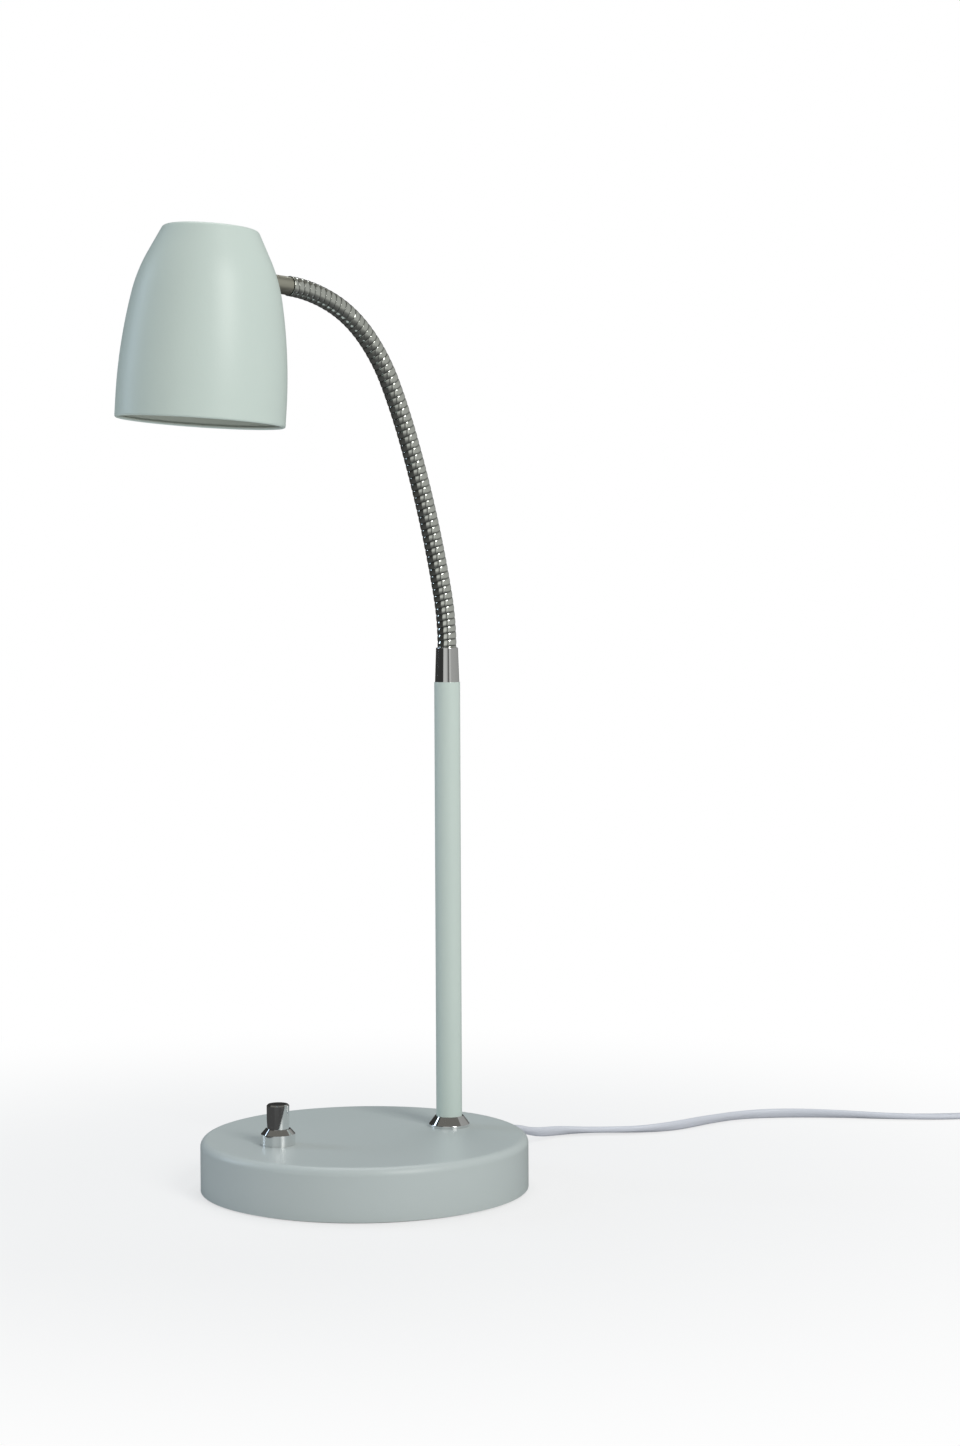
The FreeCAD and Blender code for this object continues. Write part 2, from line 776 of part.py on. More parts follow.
def shade(place):
    """Spun aluminium shade with a rolled rim, and the nipple that carries it."""
    form = bell("shade_form", "0")
    cavity = bell("shade_cavity", "shade_wall")
    shell = cut("shade_shell", form, cavity)
    bead = primitive("Torus", "rim_bead", Radius1="shade_diameter / 2 - shade_bead * 0.7", Radius2="shade_bead")
    drive(bead, Placement__Base__z="shade_bead")
    hole = rod("nipple_hole", "nipple_thread + 2 * fit_clearance", "shade_diameter / 2",
               at(0, 0, "nipple_height", Rotation(Y_AXIS, 90)))
    full = keep("shade", cut("shade", join("beaded_shade", [shell, bead]), hole))
    full.Placement = place

    collar = turn("nipple_collar", [
        ("nipple_bore / 2", "0"),
        ("nipple_diameter / 2", "0"),
        ("nipple_diameter / 2", f"head_reach - {THREAD_END}"),
        ("nipple_bore / 2", f"head_reach - {THREAD_END}"),
    ])
    dress(collar, "Chamfer", "nipple_chamfer", ring_at("nipple_diameter / 2", "0"))
    trimmed = Placement(Vector(size("head_reach"), 0, size("nipple_height")), Rotation(Y_AXIS, -90))
    collar.Placement = trimmed
    outside = cut("nipple_outside", collar, form)
    thread = turn("nipple_thread_tube", [
        ("nipple_bore / 2", "neck_plug_length"),
        ("nipple_thread / 2", "neck_plug_length"),
        ("nipple_thread / 2", f"head_reach - {THREAD_END}"),
        ("nipple_bore / 2", f"head_reach - {THREAD_END}"),
    ])
    thread.Placement = trimmed
    socket = rod("neck_socket", "neck_high_plug_diameter + 2 * fit_clearance", "neck_plug_length", trimmed)
    nipple = keep("head_nipple", cut("head_nipple", join("nipple_blank", [outside, thread]), socket))
    nipple.Placement = place
    return cavity


def head_inside(place, cavity):
    """Bracket, saddle, nut, lamp holder with its screws, and the reflector lamp."""
    inside = at(f"{BRACKET_FACE} + bracket_gauge", 0, "nipple_height", Rotation(Y_AXIS, 90))
    saddle_rod = rod("saddle_rod", "saddle_diameter", "shade_diameter / 2", inside)
    saddle_hole = rod("saddle_hole", "nipple_thread + 2 * fit_clearance", "shade_diameter / 2", inside)
    saddle = keep("inner_saddle", cut("inner_saddle", common("saddle_blank", saddle_rod, cavity), saddle_hole))
    saddle.Placement = place

    body = new_body("lamp_bracket")
    side = new_sketch(body, "XZ_Plane")
    gauge = "bracket_height - bracket_gauge"
    draw_outline(side, [
        ("-bracket_back", gauge),
        (BRACKET_FACE, gauge),
        (BRACKET_FACE, "bracket_height - bracket_leg"),
        (f"{BRACKET_FACE} + bracket_gauge", "bracket_height - bracket_leg"),
        (f"{BRACKET_FACE} + bracket_gauge", "bracket_height"),
        ("-bracket_back", "bracket_height"),
    ])
    strip = pad(body, side, "bracket_width")
    strip.Midplane = True
    doc.recompute()
    dress(body, "Fillet", "bracket_bend", lambda edge: edge_along_y(edge, f"{BRACKET_FACE} + bracket_gauge",
                                                                    "bracket_height"))
    dress(body, "Fillet", "bracket_bend - bracket_gauge", lambda edge: edge_along_y(edge, BRACKET_FACE, gauge))
    holes = new_sketch(body, "XY_Plane", "bracket_height")
    for sign in ("-", ""):
        draw_circle(holes, "holder_screw_diameter + 2 * fit_clearance", x=f"{sign}holder_screw_spacing / 2")
    pocket(body, holes, "bracket_gauge")
    bracket = cut("lamp_bracket_drilled", body, rod("bracket_hole", "nipple_thread + 2 * fit_clearance",
                                                    BRACKET_FACE, at("bracket_back", 0, "nipple_height",
                                                                       Rotation(Y_AXIS, 90))))
    bracket.Placement = place
    keep("lamp_bracket", bracket)

    nut = hex_nut("nipple_nut", "thread_nut_width", "thread_nut_height", "nipple_thread",
                  at(f"{BRACKET_FACE} - thread_nut_height", 0, "nipple_height", Rotation(Y_AXIS, 90)))
    nut.Placement = place
    keep("nipple_nut", nut)

    top = gauge
    low = f"{top} - holder_height"
    holder_body = turn("holder_body", [
        ("0", low),
        ("holder_diameter / 2", low),
        ("holder_diameter / 2", f"{top} - holder_height / 3"),
        ("holder_diameter / 2 - 1", top),
        ("0", top),
    ])
    mouths = new_sketch(holder_body, "XY_Plane", low)
    for sign in ("-", ""):
        draw_circle(mouths, "lamp_pin_head + 0.4", x="0", y=f"{sign}lamp_pin_spacing / 2")
    pocket(holder_body, mouths, "lamp_pin_length + 0.5", upward=True)
    taps = new_sketch(holder_body, "XY_Plane", top)
    for sign in ("-", ""):
        draw_circle(taps, "holder_screw_diameter + 2 * fit_clearance", x=f"{sign}holder_screw_spacing / 2")
    pocket(holder_body, taps, "holder_screw_length")
    holder_body.Placement = place
    keep("lamp_holder", holder_body)

    screw = turn("holder_screw", [
        ("0", "-holder_screw_length + bracket_gauge"),
        ("holder_screw_diameter / 2", "-holder_screw_length + bracket_gauge"),
        ("holder_screw_diameter / 2", "0"),
        ("holder_screw_head / 2", "0"),
        ("holder_screw_head / 2 - 0.5", "holder_screw_diameter * 0.6"),
        ("0", "holder_screw_diameter * 0.6"),
    ])
    spots = [place.multiply(at(f"{sign}holder_screw_spacing / 2", 0, "bracket_height")) for sign in ("-", "")]
    group("holder_screws", screw, spots)

    back = f"({low} - 0.3)"
    bulb = turn("reflector_lamp", [
        ("0", f"{back} - lamp_length + lens_thickness"),
        ("lens_diameter / 2 + fit_clearance", f"{back} - lamp_length + lens_thickness"),
        ("lens_diameter / 2 + fit_clearance", f"{back} - lamp_length"),
        ("lamp_diameter / 2", f"{back} - lamp_length"),
        ("lamp_diameter / 2", f"{back} - lamp_length + lamp_rim", "lamp_side_radius"),
        ("lamp_neck_diameter / 2", f"{back} - lamp_neck_length"),
        ("lamp_neck_diameter / 2", back),
        ("0", back),
    ])
    pins = [bulb]
    for number, sign in enumerate(("-", "")):
        spot = at(0, f"{sign}lamp_pin_spacing / 2", back)
        pins.append(rod(f"lamp_pin_{number + 1}", "lamp_pin_diameter", "lamp_pin_length", spot))
        knob_spot = at(0, f"{sign}lamp_pin_spacing / 2", f"{back} + lamp_pin_length / 2")
        pins.append(rod(f"lamp_pin_head_{number + 1}", "lamp_pin_head", "lamp_pin_length / 2", knob_spot))
    lamp = keep("reflector_lamp", join("pinned_lamp", pins))
    lamp.Placement = place
    lens = turn("lamp_lens", [
        ("0", f"{back} - lamp_length"),
        ("lens_diameter / 2", f"{back} - lamp_length"),
        ("lens_diameter / 2", f"{back} - lamp_length + lens_thickness"),
        ("0", f"{back} - lamp_length + lens_thickness"),
    ])
    lens.Placement = place
    keep("lamp_lens", lens)


def edge_along_y(edge, x, z):
    """Whether an edge runs along Y at that x and z."""
    box = edge.BoundBox
    flat = box.XLength < 0.01 and box.ZLength < 0.01
    return flat and abs(box.XMin - size(x)) < 0.01 and abs(box.ZMin - size(z)) < 0.01


# Dimmer


SHAFT_LOW = f"({CEILING} - dimmer_height / 2)"
KNOB_LOW = "(base_height + collar_height - knob_sink)"


def dimmer():
    """Push-on rotary dimmer under the cover, with its collar nut, shaft, plunger and knob."""
    box = new_body("dimmer_case")
    outline = new_sketch(box, "XY_Plane", f"{CEILING} - dimmer_height")
    draw_box(outline, "dimmer_length", "dimmer_width")
    pad(box, outline, "dimmer_height")
    stem = new_sketch(box, "XY_Plane", CEILING)
    draw_circle(stem, "bushing_diameter")
    pad(box, stem, "cover_wall + bushing_rise")
    way = new_sketch(box, "XY_Plane", "base_height + bushing_rise")
    draw_circle(way, "shaft_diameter + 2 * fit_clearance")
    pocket(box, way, f"base_height + bushing_rise - {SHAFT_LOW} + knob_travel + 0.3")
    well = new_sketch(box, "XY_Plane", SHAFT_LOW)
    draw_circle(well, "plunger_diameter + 2 * fit_clearance")
    pocket(box, well, "plunger_gap + plunger_length + knob_travel + 0.5")
    drive(box, Placement__Base__x=f"-{KNOB_REACH}")
    keep("dimmer_case", box)

    collar = turn("collar_nut", [
        ("bushing_diameter / 2 + fit_clearance", "0"),
        ("collar_diameter / 2", "0"),
        ("collar_diameter / 2", "collar_straight"),
        ("collar_top_diameter / 2", "collar_height"),
        ("collar_bore / 2", "collar_height"),
        ("collar_bore / 2", "collar_floor"),
        ("bushing_diameter / 2 + fit_clearance", "collar_floor"),
    ])
    drive(collar, Placement__Base__x=f"-{KNOB_REACH}", Placement__Base__z="base_height")
    keep("collar_nut", collar)

    shaft = turn("dimmer_shaft", [
        ("0", SHAFT_LOW),
        ("shaft_diameter / 2", SHAFT_LOW),
        ("shaft_diameter / 2", f"{KNOB_LOW} + shaft_into_knob"),
        ("0", f"{KNOB_LOW} + shaft_into_knob"),
    ])
    drive(shaft, Placement__Base__x=f"-{KNOB_REACH}")
    keep("dimmer_shaft", shaft)

    knob_top = "base_height + collar_height + knob_height"
    knob = turn("knob", [
        ("shaft_diameter / 2", KNOB_LOW),
        ("knob_diameter / 2", KNOB_LOW),
        ("knob_diameter / 2", knob_top),
        ("0", knob_top),
        ("0", f"{KNOB_LOW} + shaft_into_knob"),
        ("shaft_diameter / 2", f"{KNOB_LOW} + shaft_into_knob"),
    ])
    dress(knob, "Chamfer", "knob_chamfer", ring_at("knob_diameter / 2", knob_top))
    drive(knob, Placement__Base__x=f"-{KNOB_REACH}")
    keep("knob", knob)

    plunger = turn("switch_plunger", [
        ("0", f"{SHAFT_LOW} - plunger_gap - plunger_length"),
        ("plunger_diameter / 2", f"{SHAFT_LOW} - plunger_gap - plunger_length"),
        ("plunger_diameter / 2", f"{SHAFT_LOW} - plunger_gap"),
        ("0", f"{SHAFT_LOW} - plunger_gap"),
    ])
    drive(plunger, Placement__Base__x=f"-{KNOB_REACH}")
    keep("switch_plunger", plunger)


# Mains entry


def mains_entry():
    """Strain relief, inner end of the cord, its clamp and the terminal block."""
    wall = "base_diameter / 2"
    relief = turn("strain_relief", [
        ("cord_diameter / 2 + relief_clearance", "-cover_wall - relief_head - 0.5"),
        ("relief_head_diameter / 2", "-cover_wall - relief_head - 0.5"),
        ("relief_head_diameter / 2", "-cover_wall - 0.5"),
        ("relief_neck_diameter / 2", "-cover_wall - 0.5"),
        ("relief_neck_diameter / 2", "0.3"),
        ("relief_head_diameter / 2", "0.3"),
        ("relief_head_diameter / 2", "relief_head"),
        ("relief_neck_diameter / 2", "relief_head + 1.5"),
        ("relief_tip_diameter / 2", "relief_length"),
        ("cord_diameter / 2 + relief_clearance", "relief_length"),
    ])
    relief.Placement = cord_axis(wall)
    keep("strain_relief", relief)
    terminal_end = f"{TERMINAL_REACH} + terminal_length / 2"
    keep("inner_cord", rod("inner_cord", "cord_diameter", f"{wall} + relief_length - ({terminal_end})",
                           cord_axis(terminal_end)))
    block = new_body("terminal_block")
    sketch = new_sketch(block, "XY_Plane")
    draw_box(sketch, "terminal_length", "terminal_width")
    pad(block, sketch, "terminal_height")
    ways = new_sketch(block, "XY_Plane", "terminal_height")
    for sign in ("-", ""):
        for end in ("-", ""):
            draw_circle(ways, "terminal_hole", x=f"{end}terminal_length / 4", y=f"{sign}terminal_pitch / 2")
    pocket(block, ways, "terminal_height / 2")
    block.Placement = channel_place(TERMINAL_REACH, PLATE_TOP)
    keep("terminal_block", block)

    place = channel_place(f"{CLAMP_REACH} - clamp_length / 2", PLATE_TOP)
    low = primitive("Box", "clamp_low", place.multiply(at(0, "-clamp_width / 2", 0)), Length="clamp_length",
                    Width="clamp_width", Height=f"cord_exit_height - {PLATE_TOP}")
    high = primitive("Box", "clamp_high", place.multiply(at(0, "-clamp_width / 2", f"cord_exit_height - {PLATE_TOP}")),
                     Length="clamp_length", Width="clamp_width", Height="clamp_cap")
    groove = rod("clamp_groove", "cord_diameter", "clamp_length", cord_axis(f"{CLAMP_REACH} - clamp_length / 2"))
    spots = []
    for sign in ("-", ""):
        middle = channel_place(CLAMP_REACH, "cord_exit_height + clamp_cap")
        spots.append(middle.multiply(at(0, f"{sign}clamp_screw_pitch / 2", 0)))
    ways = [groove]
    for number, spot in enumerate(spots):
        start = spot.multiply(at(0, 0, "-clamp_screw_length"))
        ways.append(rod(f"clamp_way_{number + 1}", "clamp_screw_diameter + 2 * screw_clearance",
                        "clamp_screw_length", start))
    tools = join("clamp_tools", ways)
    keep("clamp_base", cut("clamp_base", low, tools))
    keep("clamp_bar", cut("clamp_bar", high, tools))
    screw = turn("clamp_screw", [
        ("0", "-clamp_screw_length + 0.3"),
        ("clamp_screw_diameter / 2", "-clamp_screw_length + 0.3"),
        ("clamp_screw_diameter / 2", "0"),
        ("clamp_screw_head / 2", "0"),
        ("clamp_screw_head / 2 - 0.4", "clamp_screw_diameter * 0.6"),
        ("0", "clamp_screw_diameter * 0.6"),
    ])
    group("clamp_screws", screw, spots)


# Cord, coil and plug


def rounded_way(points):
    """Wire of straight runs and tangent arcs through the points, and the radii of the arcs."""
    edges = []
    radii = []
    start = points[0]
    for before, corner, after in zip(points, points[1:], points[2:]):
        into = (corner - before).normalize()
        out = (after - corner).normalize()
        half_turn = into.getAngle(out) / 2
        share = 0.45 * min((corner - before).Length, (after - corner).Length)
        radius = share / math.tan(half_turn)
        radii.append(radius)
        first = corner - into * share
        last = corner + out * share
        inward = (out - into).normalize()
        middle = corner + inward * (radius / math.cos(half_turn) - radius)
        edges.append(Part.LineSegment(start, first).toShape())
        edges.append(Part.Arc(first, middle, last).toShape())
        start = last
    edges.append(Part.LineSegment(start, points[-1]).toShape())
    return Part.Wire(edges), radii


def biarc(start, start_way, stop, stop_way):
    """Two arcs that leave start along its way and reach stop along its own."""
    gap = stop - start
    ways = start_way + stop_way
    turned = 2 * (1 - start_way.dot(stop_way))
    reach = gap.dot(ways)
    if turned > 1e-6:
        leg = (-reach + math.sqrt(reach ** 2 + turned * gap.dot(gap))) / turned
    else:
        leg = gap.dot(gap) / (2 * reach)
    first = start + start_way * leg
    last = stop - stop_way * leg
    joint = (first + last) / 2
    return [tangent_arc(start, start_way, joint), tangent_arc(joint, (last - first).normalize(), stop)]


def tangent_arc(start, way, stop):
    """Arc from start to stop that leaves along the given way."""
    chord = stop - start
    angle = chord.getAngle(way)
    side = (way * chord.Length - chord * math.cos(angle)).normalize()
    middle = (start + stop) / 2 + side * (chord.Length / 2 * math.tan(angle / 2))
    return Part.Arc(start, middle, stop).toShape()


def tube(wire, diameter):
    """Pipe along a wire, square to its start."""
    start = wire.Edges[0]
    point = start.valueAt(start.FirstParameter)
    way = start.tangentAt(start.FirstParameter)
    section = Part.Wire([Part.makeCircle(diameter / 2, point, way)])
    return wire.makePipeShell([section], True, False)


def coil_start():
    """Point where the coil begins, and the way the cord runs there."""
    angle = math.radians(size("coil_start_angle"))
    out = Vector(math.cos(angle), math.sin(angle), 0)
    way = Vector(math.sin(angle), -math.cos(angle), 0)
    level = size("cord_diameter / 2 + floor_gap")
    return Vector(size("coil_x"), size("coil_y"), level), out, way


def power_cord():
    """Free stretch of the cord from the strain relief to the coil."""
    exit_place = cord_axis("base_diameter / 2 + relief_length")
    start = exit_place.Base
    way = exit_place.Rotation.multVec(Z_AXIS)
    centre, out, coil_way = coil_start()
    end = centre + out * size("coil_radius")
    points = [start, start + way * (3 * size("cord_diameter"))]
    points += [Vector(*point) for point in CORD_POINTS]
    points += [end - coil_way * size("coil_lead"), end]
    wire, radii = rounded_way(points)
    solid = tube(wire, size("cord_diameter"))
    cord = doc.addObject("Part::Feature", "power_cord")
    cord.Shape = solid
    keep("power_cord", cord)
    section = math.pi * size("cord_diameter / 2") ** 2
    print("cord arc radii", [round(radius, 1) for radius in radii])
    print("cord length", round(wire.Length, 1), "volume over section times length",
          round(solid.Volume / (section * wire.Length), 4))


def cord_coil():
    """Put-away length: a spiral in, a climb of one layer, a spiral out, and a tail to the plug."""
    centre, out, way = coil_start()
    diameter = size("cord_diameter")
    half_turns = int(size("coil_half_turns"))
    radius = size("coil_radius")
    pitch = size("coil_pitch")
    side = 1
    point = centre + out * radius
    edges = []
    for number in range(2 * half_turns):
        ease = size("coil_ease") if abs(number - half_turns) == 1 else 0
        if number < half_turns:
            radius -= pitch / 2 + ease
        elif number == half_turns:
            centre = centre + Vector(0, 0, size("coil_layer"))
        else:
            radius += pitch / 2 + ease
        side = -side
        following = centre + out * (side * radius)
        edges += biarc(point, way, following, way * -1)
        point = following
        way = way * -1
    level = point + way * size("tail_level")
    edges.append(Part.LineSegment(point, level).toShape())
    tail = point + way * size("tail_length")
    tail.z = size("plug_thickness / 2")
    edges += biarc(level, way, tail, way)
    end = tail + way * diameter
    edges.append(Part.LineSegment(tail, end).toShape())
    wire = Part.Wire(edges)
    solid = tube(wire, diameter)
    coil = doc.addObject("Part::Feature", "cord_coil")
    coil.Shape = solid
    keep("cord_coil", coil)
    print("coil length", round(wire.Length, 1), "least gap", round(least_gap(wire, diameter), 2))
    return Placement(end, Rotation(way, Z_AXIS.cross(way), Z_AXIS, "ZXY"))


def least_gap(wire, diameter):
    """Smallest clear distance between parts of the tube that are not neighbours along it."""
    count = int(wire.Length / 3)
    points = wire.discretize(count)
    spacing = wire.Length / (count - 1)
    skip = int(4 * diameter / spacing)
    best = math.inf
    for first in range(count):
        for second in range(first + skip, count):
            best = min(best, (points[first] - points[second]).Length)
    return best - diameter


def plug(place):
    """Flat two-pin plug with a tapered relief, lying on the floor."""
    body = new_body("plug_body")
    outline = new_sketch(body, "XY_Plane", "-plug_thickness / 2")
    long = "plug_relief + plug_length"
    draw_outline(outline, [
        ("plug_relief - 2", "-plug_thickness / 2"),
        ("plug_relief + plug_nose", "-plug_width / 2"),
        (long, "-plug_width / 2"),
        (long, "plug_width / 2"),
        ("plug_relief + plug_nose", "plug_width / 2"),
        ("plug_relief - 2", "plug_thickness / 2"),
    ])
    pad(body, outline, "plug_thickness")
    dress(body, "Fillet", "plug_thickness / 6", lambda edge: edge.BoundBox.ZLength < 0.01
          and edge.BoundBox.XMax < size(long) - 0.01)
    boot = primitive("Cone", "plug_boot", at(0, 0, 0, Rotation(Y_AXIS, 90)), Radius1="plug_relief_tip / 2",
                     Radius2="plug_thickness / 2 - 1", Height="plug_relief + 1")
    whole = keep("plug_body", join("booted_plug", [body, boot]))
    whole.Placement = place
    pin = turn("plug_pin", [
        ("0", "0"),
        ("plug_pin_diameter / 2", "0"),
        ("plug_pin_diameter / 2", "plug_pin_length", "plug_pin_diameter / 2"),
        ("0", "plug_pin_length + plug_pin_diameter / 2"),
    ])
    spots = [place.multiply(at(long, f"{sign}plug_pin_pitch / 2", 0, Rotation(Y_AXIS, 90))) for sign in ("-", "")]
    group("plug_pins", pin, spots)


base_cover()
base_weight()
base_underside()
pole()
ferrule()
frames = neck_frames()
for index, frame in enumerate(frames[:-1], start=1):
    neck_piece(index, frame)
head = head_place(frames[-1])
head_inside(head, shade(head))
dimmer()
mains_entry()
power_cord()
plug(cord_coil())
doc.recompute()

for index, frame in enumerate(frames[1:-1], start=1):
    pivot = frame.multVec(Vector(0, 0, -ball_setback()))
    side_way = frame.Rotation.multVec(Y_AXIS)
    lean_way = frame.Rotation.multVec(X_AXIS)
    print("pivot", index, [round(v, 4) for v in pivot], [round(v, 6) for v in side_way], [round(v, 6) for v in lean_way])
print("head placement", head)

broken = [item.Label for item in doc.Objects if "Invalid" in item.State or "Error" in item.State]
for name, item in nodes.items():
    if item.Shape.isNull() or not item.Shape.isValid():
        broken.append(name)
if broken:
    raise RuntimeError("objects that failed: " + ", ".join(broken))
for name, item in nodes.items():
    item.Shape.exportStep(f"parts/{name}.step")
print(len(nodes), "sub-parts written")
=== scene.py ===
import json
import math

import bpy
from mathutils import Matrix, Vector


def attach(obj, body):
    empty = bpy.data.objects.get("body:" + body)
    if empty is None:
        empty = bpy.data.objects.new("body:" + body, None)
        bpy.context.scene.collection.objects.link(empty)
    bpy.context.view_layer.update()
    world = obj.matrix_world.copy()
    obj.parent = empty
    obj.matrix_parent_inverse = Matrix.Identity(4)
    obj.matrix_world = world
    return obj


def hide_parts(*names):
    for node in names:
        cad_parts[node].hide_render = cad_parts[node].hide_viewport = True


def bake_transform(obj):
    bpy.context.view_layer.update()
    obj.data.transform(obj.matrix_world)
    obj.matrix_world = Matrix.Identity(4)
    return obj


# Gooseneck desk lamp. Metres, +Z up, origin at the middle of the base's underside, +X towards the pole.

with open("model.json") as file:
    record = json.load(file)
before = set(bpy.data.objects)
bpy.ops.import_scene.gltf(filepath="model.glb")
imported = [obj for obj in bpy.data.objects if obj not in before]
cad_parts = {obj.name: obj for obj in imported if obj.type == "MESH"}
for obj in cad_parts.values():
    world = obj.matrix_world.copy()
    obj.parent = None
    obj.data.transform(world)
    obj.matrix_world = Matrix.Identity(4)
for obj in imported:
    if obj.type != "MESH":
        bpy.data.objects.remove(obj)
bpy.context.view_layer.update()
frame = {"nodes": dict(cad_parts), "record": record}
nodes = frame["nodes"]
MM = 0.001

# Main sizes, as in the solids. Angles are in degrees.
POLE_X = 44 * MM
NECK_START = 247 * MM
NECK_SWING = 16
# How far each of the neck's equal pieces bends
NECK_BENDS = (12.5, 3, 3, 3, 5.6, 18, 24, 18.8)
NECK_LENGTH = 200.4 * MM
NECK_TURNS = 64
NECK_PITCH = NECK_LENGTH / NECK_TURNS
NECK_RADIUS = 4.4 * MM
CORD_EXIT_ANGLE = 25
CORD_EXIT_HEIGHT = 10 * MM
RELIEF_TIP = 99 * MM
CORD_WIDTH = 5.4 * MM
CORD_THICKNESS = 3.2 * MM

# Cord widths that the cord runs straight on from its strain relief
STRAIGHT_WIDTHS = 3
# Route of the cord from there to the put-away coil, in millimetres
CORD_ROUTE = [
    (122, 56, 3.6),
    (140, 58, 2.7),
    (158, 52, 2.2),
    (176, 42, 2.3),
    (196, 39, 2.7),
    (217, 44, 2.8),
    (242, 47, 2.8),
    (265, 39, 2.8),
    (287, 24, 2.6),
    (309, 6, 2.1),
    (332, -7, 1.8),
]
# Twists of the flat cord: middle along X and width in millimetres, and turn in degrees
CORD_TWISTS = ((132, 17, 62), (200, 28, 58), (262, 42, 60))
# The put-away cord winds in on the lower level and out again on the upper one. Millimetres and degrees.
COIL_CENTRE = (362, -64)
COIL_START_ANGLE = 60
COIL_RADIUS = 41
COIL_PITCH = 5.9
COIL_HALF_TURNS = 7
COIL_EASE = 0.8
COIL_LEAD = 24
COIL_LEVELS = (1.8, 5.4)
PLUG_MIDDLE = 6.85
TAIL_EASE = 0.2
POINTS_PER_HALF_TURN = 6
# Points closer than this along the cord are left out.
SHORTEST_STEP = 0.2 * MM
# Outline of the cord: how square its ends are, and its groove as shares of half its thickness and width
SECTION_POINTS = 24
SECTION_SQUARENESS = 0.85
FLEX_GROOVE_DEPTH = 0.10
FLEX_GROOVE_WIDTH = 0.25


def linear(*levels):
    """Linear colour of 0 to 255 display levels."""
    return tuple(((v / 255 + 0.055) / 1.055) ** 2.4 if v > 10 else v / 255 / 12.92 for v in levels) + (1.0,)


# Camera

CAMERA_PLACE = (-0.52655, -1.06049, 0.2559)
CAMERA_AIM = (0.4845, 0.8740, -0.0365)
CAMERA_ROLL = math.radians(-0.25)

camera_data = bpy.data.cameras.new("camera")
camera_data.lens = 64.66
camera_data.clip_start = 0.05
camera_data.clip_end = 40
camera = bpy.data.objects.new("camera", camera_data)
bpy.context.scene.collection.objects.link(camera)
forward = Vector(CAMERA_AIM).normalized()
level_right = forward.cross(Vector((0, 0, 1))).normalized()
level_up = level_right.cross(forward)
right = level_right * math.cos(CAMERA_ROLL) + level_up * math.sin(CAMERA_ROLL)
up = right.cross(forward)
camera.matrix_world = Matrix((
    (right.x, up.x, -forward.x, CAMERA_PLACE[0]),
    (right.y, up.y, -forward.y, CAMERA_PLACE[1]),
    (right.z, up.z, -forward.z, CAMERA_PLACE[2]),
    (0, 0, 0, 1),
))
bpy.context.scene.camera = camera


def new_object(name, vertices, faces, smooth=True):
    mesh = bpy.data.meshes.new(name)
    mesh.from_pydata([tuple(v) for v in vertices], [], faces)
    mesh.validate()
    if smooth:
        mesh.polygons.foreach_set("use_smooth", [True] * len(mesh.polygons))
    item = bpy.data.objects.new(name, mesh)
    bpy.context.scene.collection.objects.link(item)
    return item


# Cord


def coil_points():
    """Points of the put-away coil, two layers of a spiral, and of the tail that ends at the plug."""
    start = math.radians(COIL_START_ANGLE)
    radius = COIL_RADIUS
    level = COIL_LEVELS[0]
    points = []
    for half in range(2 * COIL_HALF_TURNS):
        ease = COIL_EASE if abs(half - COIL_HALF_TURNS) == 1 else 0
        change = 0
        lift = 0
        if half < COIL_HALF_TURNS:
            change = -COIL_PITCH / 2 - ease
        elif half == COIL_HALF_TURNS:
            lift = COIL_LEVELS[1] - COIL_LEVELS[0]
        else:
            change = COIL_PITCH / 2 + ease
        for step in range(POINTS_PER_HALF_TURN):
            share = step / POINTS_PER_HALF_TURN
            angle = start - math.pi * (half + share)
            reach = radius + change * share
            points.append((COIL_CENTRE[0] + reach * math.cos(angle),
                           COIL_CENTRE[1] + reach * math.sin(angle), level + lift * share))
        radius += change
        level += lift
    way = (math.sin(start), -math.cos(start))
    end = (COIL_CENTRE[0] + radius * math.cos(start), COIL_CENTRE[1] + radius * math.sin(start))
    tail = (
        (0, level),
        (13, level),
        (26, level + TAIL_EASE),
        (40, PLUG_MIDDLE - TAIL_EASE),
        (52, PLUG_MIDDLE),
        (57.4, PLUG_MIDDLE),
    )
    for travel, height in tail:
        points.append((end[0] + way[0] * travel, end[1] + way[1] * travel, height))
    return points


def cord_route():
    """Where the cord leaves the strain relief, and the points that it follows from there to the plug."""
    turn = math.radians(CORD_EXIT_ANGLE)
    way = Vector((math.cos(turn), math.sin(turn), 0))
    exit_point = way * RELIEF_TIP + Vector((0, 0, CORD_EXIT_HEIGHT))
    points = [exit_point, exit_point + way * STRAIGHT_WIDTHS * CORD_WIDTH]
    points += [Vector(p) * MM for p in CORD_ROUTE]
    start = math.radians(COIL_START_ANGLE)
    coil = coil_points()
    x, y, height = coil[0]
    lead = Vector((x - math.sin(start) * COIL_LEAD, y + math.cos(start) * COIL_LEAD, height))
    points.append(lead * MM)
    points += [Vector(p) * MM for p in coil]
    return exit_point, points


def follow(name, control):
    """Points along a smooth NURBS line with the given control points."""
    curve = bpy.data.curves.new(name, "CURVE")
    curve.dimensions = "3D"
    spline = curve.splines.new("NURBS")
    spline.points.add(len(control) - 1)
    for point, place in zip(spline.points, control):
        point.co = (*place, 1)
    spline.order_u = 3
    spline.use_endpoint_u = True
    spline.resolution_u = 8
    guide = bpy.data.objects.new(name, curve)
    mesh = bpy.data.meshes.new_from_object(guide)
    line = [v.co.copy() for v in mesh.vertices]
    bpy.data.objects.remove(guide)
    bpy.data.curves.remove(curve)
    bpy.data.meshes.remove(mesh)
    kept = [line[0]]
    for place in line[1:]:
        if (place - kept[-1]).length > SHORTEST_STEP:
            kept.append(place)
    return kept


